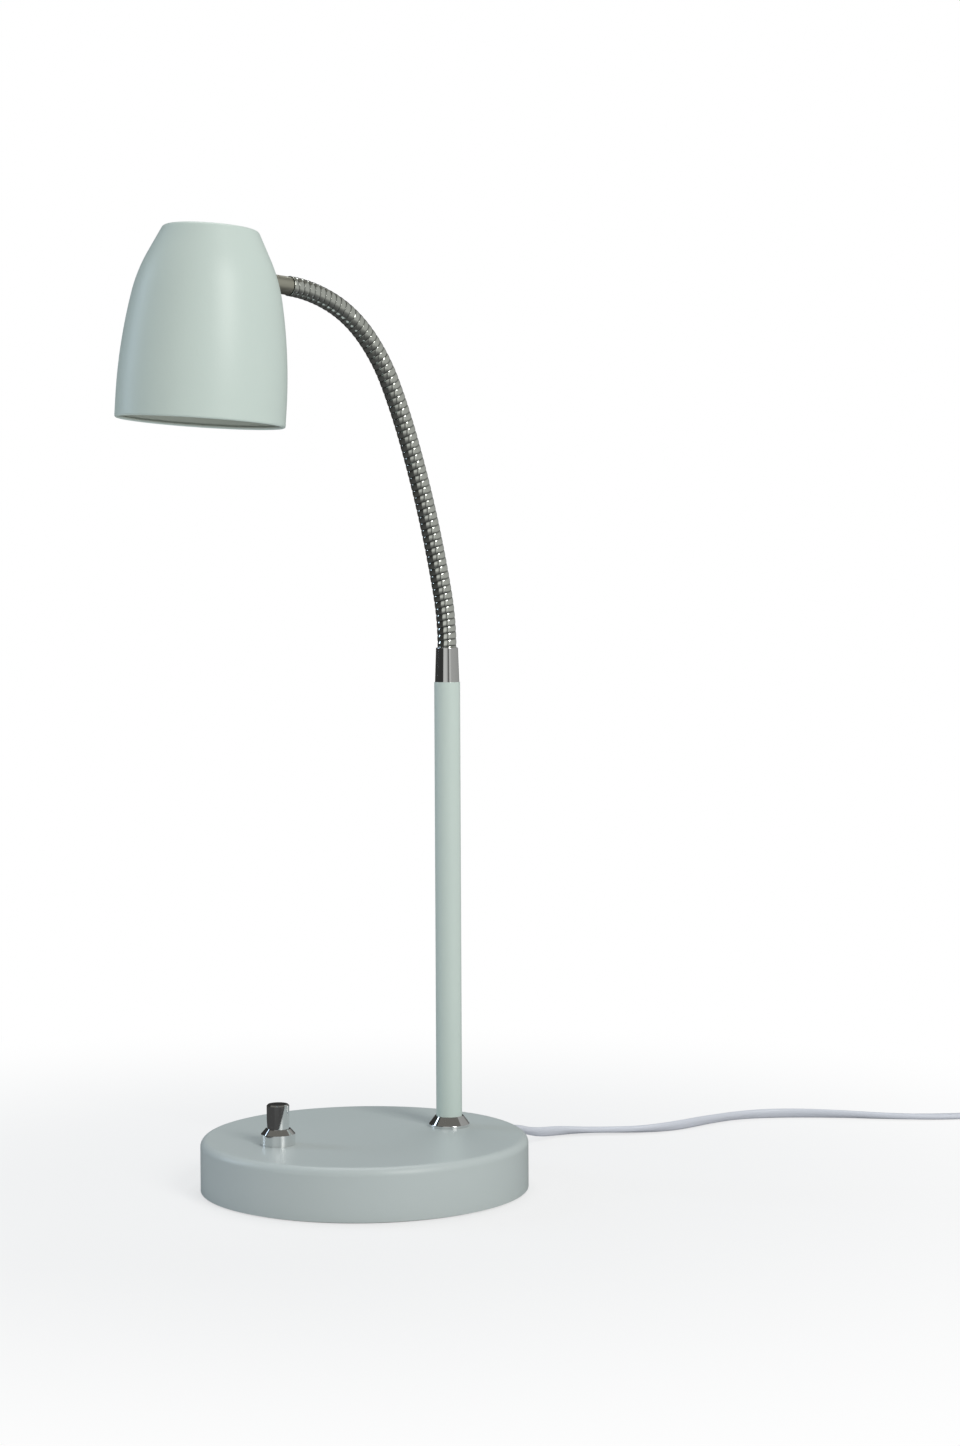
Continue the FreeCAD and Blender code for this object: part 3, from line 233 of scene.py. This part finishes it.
def twist_at(place):
    """Turn of the flat cord about its own line: flat on the floor but for its lazy twists."""
    travel = place.x / MM
    on_edge = 0
    for middle, width, turn in CORD_TWISTS:
        on_edge += turn * math.exp(-((travel - middle) / width) ** 2)
    return math.radians(on_edge)


def flat_section():
    """Outline of twin flex: two round cores side by side in one sheath, with a shallow groove between."""
    outline = []
    half = (CORD_WIDTH - CORD_THICKNESS) / 2
    for number in range(SECTION_POINTS):
        angle = 2 * math.pi * number / SECTION_POINTS
        x = math.copysign(abs(math.cos(angle)) ** SECTION_SQUARENESS, math.cos(angle))
        y = math.sin(angle)
        groove = FLEX_GROOVE_DEPTH * math.exp(-(x / FLEX_GROOVE_WIDTH) ** 2)
        outline.append((x * (half + CORD_THICKNESS / 2), y * CORD_THICKNESS / 2 * (1 - groove)))
    return outline


def sweep(name, path, section, turn_of):
    """Tube of a flat section along a path. Sideways stays level but for the turn asked for."""
    vertices = []
    faces = []
    count = len(section)
    for number, place in enumerate(path):
        before = path[max(number - 1, 0)]
        after = path[min(number + 1, len(path) - 1)]
        ahead = (after - before).normalized()
        side = ahead.cross(Vector((0, 0, 1))).normalized()
        high = side.cross(ahead)
        turn = turn_of(place)
        flat = side * math.cos(turn) + high * math.sin(turn)
        tall = high * math.cos(turn) - side * math.sin(turn)
        for x, y in section:
            vertices.append(place + flat * x + tall * y)
        if number:
            base = (number - 1) * count
            for j in range(count):
                k = (j + 1) % count
                faces.append((base + j, base + k, base + count + k, base + count + j))
    faces.append(tuple(range(count - 1, -1, -1)))
    last = (len(path) - 1) * count
    faces.append(tuple(last + j for j in range(count)))
    return new_object(name, vertices, faces)


cord_exit, cord_control = cord_route()
cord_path = follow("cord_line", cord_control)
cord = sweep("mains_cord", cord_path, flat_section(), twist_at)
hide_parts("power_cord", "cord_coil")
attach(cord, "base")


# Neck


def neck_place(travel):
    """Point, way ahead and side of the bend at a distance along the neck."""
    piece = NECK_LENGTH / len(NECK_BENDS)
    swing = math.radians(180 + NECK_SWING)
    towards = Vector((math.cos(swing), math.sin(swing), 0))
    point = Vector((POLE_X, 0, NECK_START))
    angle = 0.0
    left = travel
    for number, bend in enumerate(NECK_BENDS):
        part = min(left, piece) if number < len(NECK_BENDS) - 1 else left
        turned = math.radians(bend) * part / piece
        radius = piece / math.radians(bend)
        inward = towards * math.cos(angle) - Vector((0, 0, 1)) * math.sin(angle)
        ahead = Vector((0, 0, 1)) * math.cos(angle) + towards * math.sin(angle)
        point = point + ahead * (radius * math.sin(turned)) + inward * (radius * (1 - math.cos(turned)))
        angle += turned
        left -= part
        if left <= 0:
            break
    ahead = Vector((0, 0, 1)) * math.cos(angle) + towards * math.sin(angle)
    inward = towards * math.cos(angle) - Vector((0, 0, 1)) * math.sin(angle)
    return point, ahead, inward


# Height of the wound strip's outside over one turn, in millimetres
TURN_SHAPE = (-0.30, -0.11, -0.065, -0.03, -0.01, 0.0, 0.0, -0.01, -0.03, -0.055, -0.085, -0.14)
TURN_ROWS = len(TURN_SHAPE)
# How far each of these rows lies in the groove between two turns, as the share of painted shade that darkens the
# chrome there
GROOVE_SHADE_SHARE = (1.0, 0.42, 0.08, 0, 0, 0, 0, 0, 0, 0, 0.12, 0.55)
NECK_SIDES = 40


def neck_skin(name, first_turn, last_turn):
    """Wound strip of the neck from one turn to another, as one helical ribbon."""
    first_row = first_turn * TURN_ROWS
    last_row = last_turn * TURN_ROWS
    vertices = []
    groove = []
    for row in range(first_row, last_row + TURN_ROWS + 1):
        for j in range(NECK_SIDES):
            travel = min(max((row / TURN_ROWS + j / NECK_SIDES) * NECK_PITCH, 0.0), NECK_LENGTH)
            point, ahead, inward = neck_place(travel)
            angle = 2 * math.pi * j / NECK_SIDES
            reach = NECK_RADIUS + TURN_SHAPE[row % TURN_ROWS] * MM
            side = ahead.cross(inward)
            vertices.append(point + (inward * math.cos(angle) + side * math.sin(angle)) * reach)
            # Share of painted groove shade at this row, kept as the groove attribute
            groove.append(GROOVE_SHADE_SHARE[row % TURN_ROWS])
    faces = []
    for row in range(last_row - first_row):
        for j in range(NECK_SIDES):
            beside = (row, j + 1) if j < NECK_SIDES - 1 else (row + TURN_ROWS, 0)
            corners = ((row, j), beside, (beside[0] + 1, beside[1]), (row + 1, j))
            faces.append(tuple(r * NECK_SIDES + k for r, k in corners))
    skin = new_object(name, vertices, faces)
    skin.data.attributes.new("groove", "FLOAT", "POINT").data.foreach_set("value", groove)
    return skin


NECK_STRIPS = len(NECK_BENDS) - 1
TURNS_PER_PIECE = NECK_TURNS // len(NECK_BENDS)
# Turns past the start of a strip, for a point along the neck that the loop works out but does not use
RIGID_TURNS = 1.1
neck_skins = []
for number in range(NECK_STRIPS):
    # A strip runs from the middle of one piece to the middle of the next, and the outer ones to the neck's ends.
    middle_turn = number * TURNS_PER_PIECE + TURNS_PER_PIECE // 2
    next_middle = middle_turn + TURNS_PER_PIECE
    is_last = number == NECK_STRIPS - 1
    first = -1 if number == 0 else middle_turn
    last = NECK_TURNS if is_last else next_middle
    skin = neck_skin(f"neck_winding_{number + 1}", first, last)
    covered = [f"neck_piece_{number + 1}"] + (["neck_piece_8"] if is_last else [])
    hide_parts(*covered)
    start = neck_place((middle_turn + RIGID_TURNS) * NECK_PITCH)[0]
    stop = neck_place(next_middle * NECK_PITCH)[0]
    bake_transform(skin)
    neck_skins.append(skin)


# Shade

# Sizes of the shade in millimetres, with heights from its mouth
MOUTH_RADIUS = 36.2
SKIRT_BOTTOM = 1.2
SKIRT_STEP = 0.85
SKIRT_TOP = 8
SIDE_RADIUS = 235
SIDE_RISE = 45
SIDE_STEP = 2
SHOULDER_RADIUS = 68
SHOULDER_STEP = 1.5
SHADE_TOP = 82
SHADE_WALL = 0.9
SHADE_CORNER = 2.3
SHADE_BEAD = 0.8
# How far the rim is rolled, in degrees
BEAD_SWEEP = 225
# Points and steps along the half section of the shade, and sides around it
SKIRT_POINTS = 9
SHOULDER_POINTS = 13
SLOPE_STEPS = 6
CORNER_STEPS = 7
TOP_STEPS = 8
BEAD_STEPS = 12
SHADE_SIDES = 192
# Row of the rolled rim after which the colour of the inside begins
INSIDE_FROM = 9
# Middle of the mouth in millimetres, and the turns of the shade about Z, Y and X in degrees
HEAD_PLACE = (-93.6473, -35.788, 343.489)
HEAD_TURNS = (16, 2.1, 3.2)


def shade_outside():
    """Outside of the shade as radius and height: straight skirt, long curve and shoulder."""
    centre = MOUTH_RADIUS - SIDE_RADIUS
    inset = SIDE_RADIUS - SHOULDER_RADIUS
    shoulder_x = centre + inset * math.sqrt(1 - (SIDE_RISE / SIDE_RADIUS) ** 2)
    shoulder_z = SKIRT_TOP + inset * SIDE_RISE / SIDE_RADIUS
    points = [(MOUTH_RADIUS, SKIRT_BOTTOM + SKIRT_STEP * k) for k in range(SKIRT_POINTS)]
    for z in range(1, SIDE_RISE, SIDE_STEP):
        points.append((centre + math.sqrt(SIDE_RADIUS ** 2 - z ** 2), SKIRT_TOP + z))
    for k in range(SHOULDER_POINTS):
        z = SKIRT_TOP + SIDE_RISE + SHOULDER_STEP * k
        points.append((shoulder_x + math.sqrt(SHOULDER_RADIUS ** 2 - (z - shoulder_z) ** 2), z))
    return points


def shade_profile():
    """Half section of the shade: from the middle of its top down the outside, its rolled rim, and up the inside."""
    outside = shade_outside()
    slope_start = Vector(outside[-1])
    slope = (slope_start - Vector(outside[-2])).normalized()
    across = Vector((slope.y, -slope.x))
    # The corner's centre lies one corner radius inside the slope and under the top.
    drop = SHADE_TOP - SHADE_CORNER - slope_start.y + across.y * SHADE_CORNER
    edge = slope_start + slope * (drop / slope.y)
    middle = edge - across * SHADE_CORNER
    start = math.atan2(across.y, across.x)
    outside += [tuple(slope_start.lerp(edge, k / SLOPE_STEPS)) for k in range(1, SLOPE_STEPS)]
    for k in range(CORNER_STEPS + 1):
        angle = start + (math.pi / 2 - start) * k / CORNER_STEPS
        outside.append((middle.x + SHADE_CORNER * math.cos(angle), middle.y + SHADE_CORNER * math.sin(angle)))
    top_radius = outside[-1][0]
    outside += [(top_radius * k / TOP_STEPS, SHADE_TOP) for k in range(TOP_STEPS - 1, -1, -1)]
    inside = []
    for number, (x, z) in enumerate(outside):
        before = Vector(outside[max(number - 1, 0)])
        after = Vector(outside[min(number + 1, len(outside) - 1)])
        ahead = (after - before).normalized()
        inside.append((max(x - ahead.y * SHADE_WALL, 0), z + ahead.x * SHADE_WALL))
    bead = []
    for k in range(BEAD_STEPS + 1):
        angle = math.radians(-BEAD_SWEEP * k / BEAD_STEPS)
        bead.append((MOUTH_RADIUS - SHADE_BEAD + SHADE_BEAD * math.cos(angle),
                     SHADE_BEAD + SHADE_BEAD * math.sin(angle)))
    return outside[::-1], bead, inside


def head_matrix():
    yaw, pitch, roll = (math.radians(a) for a in HEAD_TURNS)
    turned = Matrix.Rotation(yaw, 4, "Z") @ Matrix.Rotation(pitch, 4, "Y") @ Matrix.Rotation(roll, 4, "X")
    return Matrix.Translation(Vector(HEAD_PLACE) * MM) @ turned


def spun_shade():
    """Spun shell turned about its axis. The second material slot is its inside."""
    outside, bead, inside = shade_profile()
    profile = outside + bead + inside
    place = head_matrix()
    vertices = []
    faces = []
    inner = []
    for row, (x, z) in enumerate(profile):
        for j in range(SHADE_SIDES):
            angle = 2 * math.pi * j / SHADE_SIDES
            vertices.append(place @ (Vector((x * math.cos(angle), x * math.sin(angle), z)) * MM))
        if row:
            for j in range(SHADE_SIDES):
                k = (j + 1) % SHADE_SIDES
                high, low = (row - 1) * SHADE_SIDES, row * SHADE_SIDES
                faces.append((high + j, low + j, low + k, high + k))
                inner.append(row > len(outside) + INSIDE_FROM)
    item = new_object("spun_shade", vertices, faces)
    item.data.materials.append(None)
    item.data.materials.append(None)
    item.data.polygons.foreach_set("material_index", [int(flag) for flag in inner])
    return item


shade = spun_shade()
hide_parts("shade")
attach(shade, "head")


# Materials


def new_material(name, color, roughness, metallic=0.0, **sockets):
    material = bpy.data.materials.new(name)
    material.use_nodes = True
    shader = material.node_tree.nodes["Principled BSDF"]
    shader.inputs["Base Color"].default_value = color
    shader.inputs["Roughness"].default_value = roughness
    shader.inputs["Metallic"].default_value = metallic
    for socket, value in sockets.items():
        shader.inputs[socket.replace("_", " ")].default_value = value
    return material, shader


def add_node(material, kind, **inputs):
    node = material.node_tree.nodes.new(kind)
    for socket, value in inputs.items():
        node.inputs[socket.replace("_", " ")].default_value = value
    return node


def link(material, output, target):
    material.node_tree.links.new(output, target)


def mix_colors(material, first=None, second=None):
    """Node that mixes two colours. One that isn't given is linked later."""
    mix = add_node(material, "ShaderNodeMix")
    mix.data_type = "RGBA"
    for socket, color in (("A", first), ("B", second)):
        if color:
            mix.inputs[socket].default_value = color
    return mix


def bare_material(name):
    """Material without any nodes yet."""
    material = bpy.data.materials.new(name)
    material.use_nodes = True
    material.node_tree.nodes.clear()
    return material


def add_grain(material, shader, scale, height):
    """Bump from fine noise, in object coordinates."""
    place = add_node(material, "ShaderNodeTexCoord")
    noise = add_node(material, "ShaderNodeTexNoise", Scale=scale, Detail=2.0)
    bump = add_node(material, "ShaderNodeBump", Strength=1.0, Distance=height)
    link(material, place.outputs["Object"], noise.inputs["Vector"])
    link(material, noise.outputs["Fac"], bump.inputs["Height"])
    link(material, bump.outputs["Normal"], shader.inputs["Normal"])


def add_tone(material, shader, first, second, scale):
    """Slow drift of the colour between two tones."""
    place = add_node(material, "ShaderNodeTexCoord")
    noise = add_node(material, "ShaderNodeTexNoise", Scale=scale, Detail=3.0)
    mix = mix_colors(material, first, second)
    link(material, place.outputs["Object"], noise.inputs["Vector"])
    link(material, noise.outputs["Fac"], mix.inputs["Factor"])
    link(material, mix.outputs["Result"], shader.inputs["Base Color"])


def paint(name, color, other):
    material, shader = new_material(name, color, 0.40, Specular_IOR_Level=0.45)
    add_tone(material, shader, color, other, 18)
    add_grain(material, shader, 1400, 0.000018)
    return material


def metal(name, color, roughness, grain=None):
    material, shader = new_material(name, color, roughness, 1.0)
    if grain:
        add_grain(material, shader, *grain)
    return material


def plastic(name, color, roughness, other=None, grain=(900, 0.00001)):
    material, shader = new_material(name, color, roughness)
    add_tone(material, shader, color, other or tuple(0.93 * c for c in color[:3]) + (1,), 30)
    add_grain(material, shader, *grain)
    return material


def wound_chrome():
    """Chrome of the wound strip, darkened by painted shade in the grooves between the turns."""
    bright = linear(230, 234, 227)
    groove_shade_color = linear(128, 131, 127)
    material, shader = new_material("neck_chrome", bright, 0.11, 1.0)
    add_grain(material, shader, 500, 0.00001)
    # The groove attribute mixes in painted shade: darker chrome in the grooves
    groove = add_node(material, "ShaderNodeAttribute")
    groove.attribute_name = "groove"
    tone = mix_colors(material, bright, groove_shade_color)
    link(material, groove.outputs["Fac"], tone.inputs["Factor"])
    link(material, tone.outputs["Result"], shader.inputs["Base Color"])
    return material


shade_paint = paint("mint_paint", linear(205, 218, 210), linear(202, 215, 208))
shade_inside = paint("shade_inside", linear(204, 210, 198), linear(198, 204, 193))
base_paint = paint("mint_paint_base", linear(192, 200, 199), linear(189, 198, 196))
chrome = metal("chrome", linear(225, 226, 226), 0.07, (60, 0.00002))
neck_chrome = wound_chrome()
satin_steel = metal("satin_steel", linear(196, 196, 182), 0.36, (700, 0.00001))
zinc_steel = metal("zinc_steel", linear(190, 190, 186), 0.38, (500, 0.00002))
cast_iron = plastic("cast_iron", linear(58, 58, 60), 0.8, linear(74, 73, 72), (500, 0.00025))
foot_foam = plastic("foot_foam", linear(74, 66, 58), 0.9, linear(62, 56, 50), (1500, 0.0001))
cord_white = plastic("cord_white", linear(214, 217, 225), 0.42)
plug_metal = metal("plug_metal", linear(205, 200, 186), 0.22, (400, 0.00001))
dark_plastic = plastic("dark_plastic", linear(32, 32, 34), 0.5)
shaft_metal = metal("shaft_metal", linear(196, 196, 198), 0.3, (600, 0.00001))
terminal_plastic = plastic("terminal_plastic", linear(232, 230, 224), 0.45)
ceramic = plastic("ceramic", linear(238, 235, 224), 0.55)
lamp_plastic = plastic("lamp_plastic", linear(232, 233, 232), 0.35)
lamp_glass, lamp_glass_shader = new_material("lamp_glass", linear(236, 240, 240), 0.3, Alpha=1.0)
lamp_glass_shader.inputs["Transmission Weight"].default_value = 0.6
lamp_glass_shader.inputs["IOR"].default_value = 1.45
add_grain(lamp_glass, lamp_glass_shader, 600, 0.00008)

SLOT_MATERIALS = {
    "mint_paint": shade_paint,
    "chrome": chrome,
    "satin_steel": satin_steel,
    "zinc_steel": zinc_steel,
    "cast_iron": cast_iron,
    "black_pad": foot_foam,
    "white_plastic": cord_white,
    "brass": plug_metal,
    "dark_plastic": dark_plastic,
    "aluminium": shaft_metal,
    "terminal_plastic": terminal_plastic,
    "ceramic": ceramic,
    "lamp_body": lamp_plastic,
    "lamp_glass": lamp_glass,
}


def dress(item, material):
    """Give one material to every slot of an object, or its first slot."""
    if item.data.materials:
        for number in range(len(item.data.materials)):
            item.data.materials[number] = material
    else:
        item.data.materials.append(material)


slot_of = {part["node"]: part["material_slot"] for part in frame["record"]["subparts"]}
for name, item in nodes.items():
    dress(item, SLOT_MATERIALS[slot_of[name]])
dress(nodes["base_cover"], base_paint)
dress(cord, cord_white)
shade.data.materials[0] = shade_paint
shade.data.materials[1] = shade_inside
for skin in neck_skins:
    dress(skin, neck_chrome)


# Studio

# Brightness of the room's wall by its azimuth in degrees, counted from the camera's side towards the right
WALL_TONES = ((-180, 0.04), (-38, 0.04), (-33, 0.6), (-6, 0.6), (6, 0.38), (12, 0.13), (20, 0.13), (27, 0.66),
              (44, 0.42), (140, 0.36), (165, 0.08), (180, 0.04))
WALL_WARMTH = 0.97
CEILING_TONE = (0.17, 0.165, 0.15, 1)
CAMERA_SIDE = math.atan2(-forward.y, -forward.x)
ROOM_RADIUS = 2.7
ROOM_HEIGHT = 2.8
ROOM_SIDES = 72
FLOOR_SIZE = 12
# Changes of the floor with the distance from the lamp: the two distances, and the values at them.
# First the share of white that the camera sees, then the share of the wall's tone in reflections.
FLOOR_WHITE = (0.12, 0.5, 0.62, 1.0)
FLOOR_MIRROR = (0.1, 1.5, 0.0, 1.0)
# Painted dark reflection: the tone that the floor shows in reflections near the lamp, instead of its lit colour
FLOOR_NEAR_DARK_REFLECTION = (0.07, 0.07, 0.07, 1)
WORLD_COLOR = (0.91, 0.96, 1.0, 1)
WORLD_STRENGTH = 0.41
LIGHT_AIM = (0, 0, 0.22)


def tone_by_azimuth(material):
    """Dark and pale stretches of the room, for an object whose +X points to the camera's side."""
    place = add_node(material, "ShaderNodeTexCoord")
    turn = add_node(material, "ShaderNodeTexGradient")
    turn.gradient_type = "RADIAL"
    tones = add_node(material, "ShaderNodeValToRGB")
    stops = tones.color_ramp.elements
    while len(stops) < len(WALL_TONES):
        stops.new(0.5)
    for stop, (azimuth, tone) in zip(stops, WALL_TONES):
        stop.position = 0.5 + azimuth / 360
        stop.color = (tone, tone, tone * WALL_WARMTH, 1)
    link(material, place.outputs["Object"], turn.inputs["Vector"])
    link(material, turn.outputs["Fac"], tones.inputs["Fac"])
    return tones.outputs["Color"]


def radial_fade(material, inner, outer, near, far):
    """Smooth change of a value with the distance from the lamp."""
    place = add_node(material, "ShaderNodeTexCoord")
    length = add_node(material, "ShaderNodeVectorMath")
    length.operation = "LENGTH"
    fade = add_node(material, "ShaderNodeMapRange", From_Min=inner, From_Max=outer, To_Min=near, To_Max=far)
    fade.interpolation_type = "SMOOTHSTEP"
    link(material, place.outputs["Object"], length.inputs[0])
    link(material, length.outputs["Value"], fade.inputs["Value"])
    return fade.outputs["Result"]


floor = new_object("floor", [(-FLOOR_SIZE, -FLOOR_SIZE, 0), (FLOOR_SIZE, -FLOOR_SIZE, 0),
                             (FLOOR_SIZE, FLOOR_SIZE, 0), (-FLOOR_SIZE, FLOOR_SIZE, 0)], [(0, 1, 2, 3)], False)
floor.rotation_euler = (0, 0, CAMERA_SIDE)


def studio_floor():
    """Pale floor with shadows near the lamp. Further out it fades to white. In reflections it glows with a painted
    dark reflection near the lamp, which fades to the room's tones further out.
    """
    material = bare_material("studio_floor")
    output = add_node(material, "ShaderNodeOutputMaterial")
    matt = add_node(material, "ShaderNodeBsdfDiffuse", Color=linear(230, 230, 230))
    white = add_node(material, "ShaderNodeEmission", Color=(1, 1, 1, 1), Strength=1.0)
    painted_reflection = add_node(material, "ShaderNodeEmission", Strength=1.0)
    path = add_node(material, "ShaderNodeLightPath")
    share = add_node(material, "ShaderNodeMath")
    share.operation = "MULTIPLY"
    seen = add_node(material, "ShaderNodeMixShader")
    reflected = add_node(material, "ShaderNodeMixShader")
    link(material, radial_fade(material, *FLOOR_WHITE), share.inputs[0])
    link(material, path.outputs["Is Camera Ray"], share.inputs[1])
    link(material, share.outputs["Value"], seen.inputs[0])
    link(material, matt.outputs[0], seen.inputs[1])
    link(material, white.outputs[0], seen.inputs[2])
    around = mix_colors(material, FLOOR_NEAR_DARK_REFLECTION)
    link(material, radial_fade(material, *FLOOR_MIRROR), around.inputs["Factor"])
    link(material, tone_by_azimuth(material), around.inputs["B"])
    link(material, around.outputs["Result"], painted_reflection.inputs["Color"])
    link(material, path.outputs["Is Glossy Ray"], reflected.inputs[0])
    link(material, seen.outputs[0], reflected.inputs[1])
    link(material, painted_reflection.outputs[0], reflected.inputs[2])
    link(material, reflected.outputs[0], output.inputs["Surface"])
    return material


dress(floor, studio_floor())


def studio_room():
    """Round room whose dark and pale stretches show only in reflections, as the metal of the lamp has them."""
    angles = [2 * math.pi * n / ROOM_SIDES for n in range(ROOM_SIDES)]
    ring = [(ROOM_RADIUS * math.cos(angle), ROOM_RADIUS * math.sin(angle)) for angle in angles]
    vertices = [(x, y, 0) for x, y in ring] + [(x, y, ROOM_HEIGHT) for x, y in ring]
    faces = []
    for n in range(ROOM_SIDES):
        beside = (n + 1) % ROOM_SIDES
        faces.append((n, beside, ROOM_SIDES + beside, ROOM_SIDES + n))
    faces.append(tuple(range(ROOM_SIDES, 2 * ROOM_SIDES)))
    room = new_object("room", vertices, faces, False)
    room.rotation_euler = (0, 0, CAMERA_SIDE)
    room.visible_camera = False
    room.visible_diffuse = False
    room.visible_transmission = False
    room.visible_shadow = False
    material = bare_material("room")
    output = add_node(material, "ShaderNodeOutputMaterial")
    glow = add_node(material, "ShaderNodeEmission")
    place = add_node(material, "ShaderNodeTexCoord")
    apart = add_node(material, "ShaderNodeSeparateXYZ")
    high = add_node(material, "ShaderNodeMath")
    high.operation = "GREATER_THAN"
    high.inputs[1].default_value = ROOM_HEIGHT - 0.01
    mix = mix_colors(material, second=CEILING_TONE)
    link(material, place.outputs["Object"], apart.inputs[0])
    link(material, apart.outputs["Z"], high.inputs[0])
    link(material, high.outputs[0], mix.inputs["Factor"])
    link(material, tone_by_azimuth(material), mix.inputs["A"])
    link(material, mix.outputs["Result"], glow.inputs["Color"])
    link(material, glow.outputs[0], output.inputs["Surface"])
    dress(room, material)


studio_room()


def studio_world():
    """White to the camera and through glass, a bluish grey as light. Reflections meet the room before it."""
    world = bpy.data.worlds.new("studio")
    bpy.context.scene.world = world
    world.use_nodes = True
    tree = world.node_tree
    tree.nodes.clear()
    output = tree.nodes.new("ShaderNodeOutputWorld")
    seen = tree.nodes.new("ShaderNodeBackground")
    seen.inputs["Color"].default_value = (1, 1, 1, 1)
    light = tree.nodes.new("ShaderNodeBackground")
    light.inputs["Color"].default_value = WORLD_COLOR
    light.inputs["Strength"].default_value = WORLD_STRENGTH
    path = tree.nodes.new("ShaderNodeLightPath")
    either = tree.nodes.new("ShaderNodeMath")
    either.operation = "MAXIMUM"
    mix = tree.nodes.new("ShaderNodeMixShader")
    tree.links.new(path.outputs["Is Camera Ray"], either.inputs[0])
    tree.links.new(path.outputs["Is Transmission Ray"], either.inputs[1])
    tree.links.new(either.outputs[0], mix.inputs[0])
    tree.links.new(light.outputs[0], mix.inputs[1])
    tree.links.new(seen.outputs[0], mix.inputs[2])
    tree.links.new(mix.outputs[0], output.inputs["Surface"])


studio_world()


def softbox(name, place, aim, width, height, power, color=(1, 1, 1)):
    """Rectangular light that faces a point."""
    data = bpy.data.lights.new(name, "AREA")
    data.shape = "RECTANGLE"
    data.size = width
    data.size_y = height
    data.energy = power
    data.color = color
    lamp = bpy.data.objects.new(name, data)
    bpy.context.scene.collection.objects.link(lamp)
    lamp.location = place
    lamp.rotation_euler = (Vector(aim) - Vector(place)).to_track_quat("-Z", "Y").to_euler()


def from_camera(azimuth, distance, height):
    """Point around the lamp, its azimuth counted from the camera's side towards the right of the picture."""
    side = math.radians(azimuth)
    way = Vector((-forward.x, -forward.y, 0)).normalized() * math.cos(side) + level_right * math.sin(side)
    return way * distance + Vector((0, 0, height))


softbox("key", from_camera(36, 1.9, 1.35), LIGHT_AIM, 0.65, 1.3, 23, (1.0, 0.99, 0.96))
softbox("fill", from_camera(-105, 2.0, 0.95), LIGHT_AIM, 0.6, 1.2, 8.4, (0.68, 0.83, 1.0))
softbox("top", from_camera(180, 0.7, 2.2), (0, 0, 0.0), 1.2, 1.2, 13)


bpy.context.scene.view_settings.view_transform = "Standard"
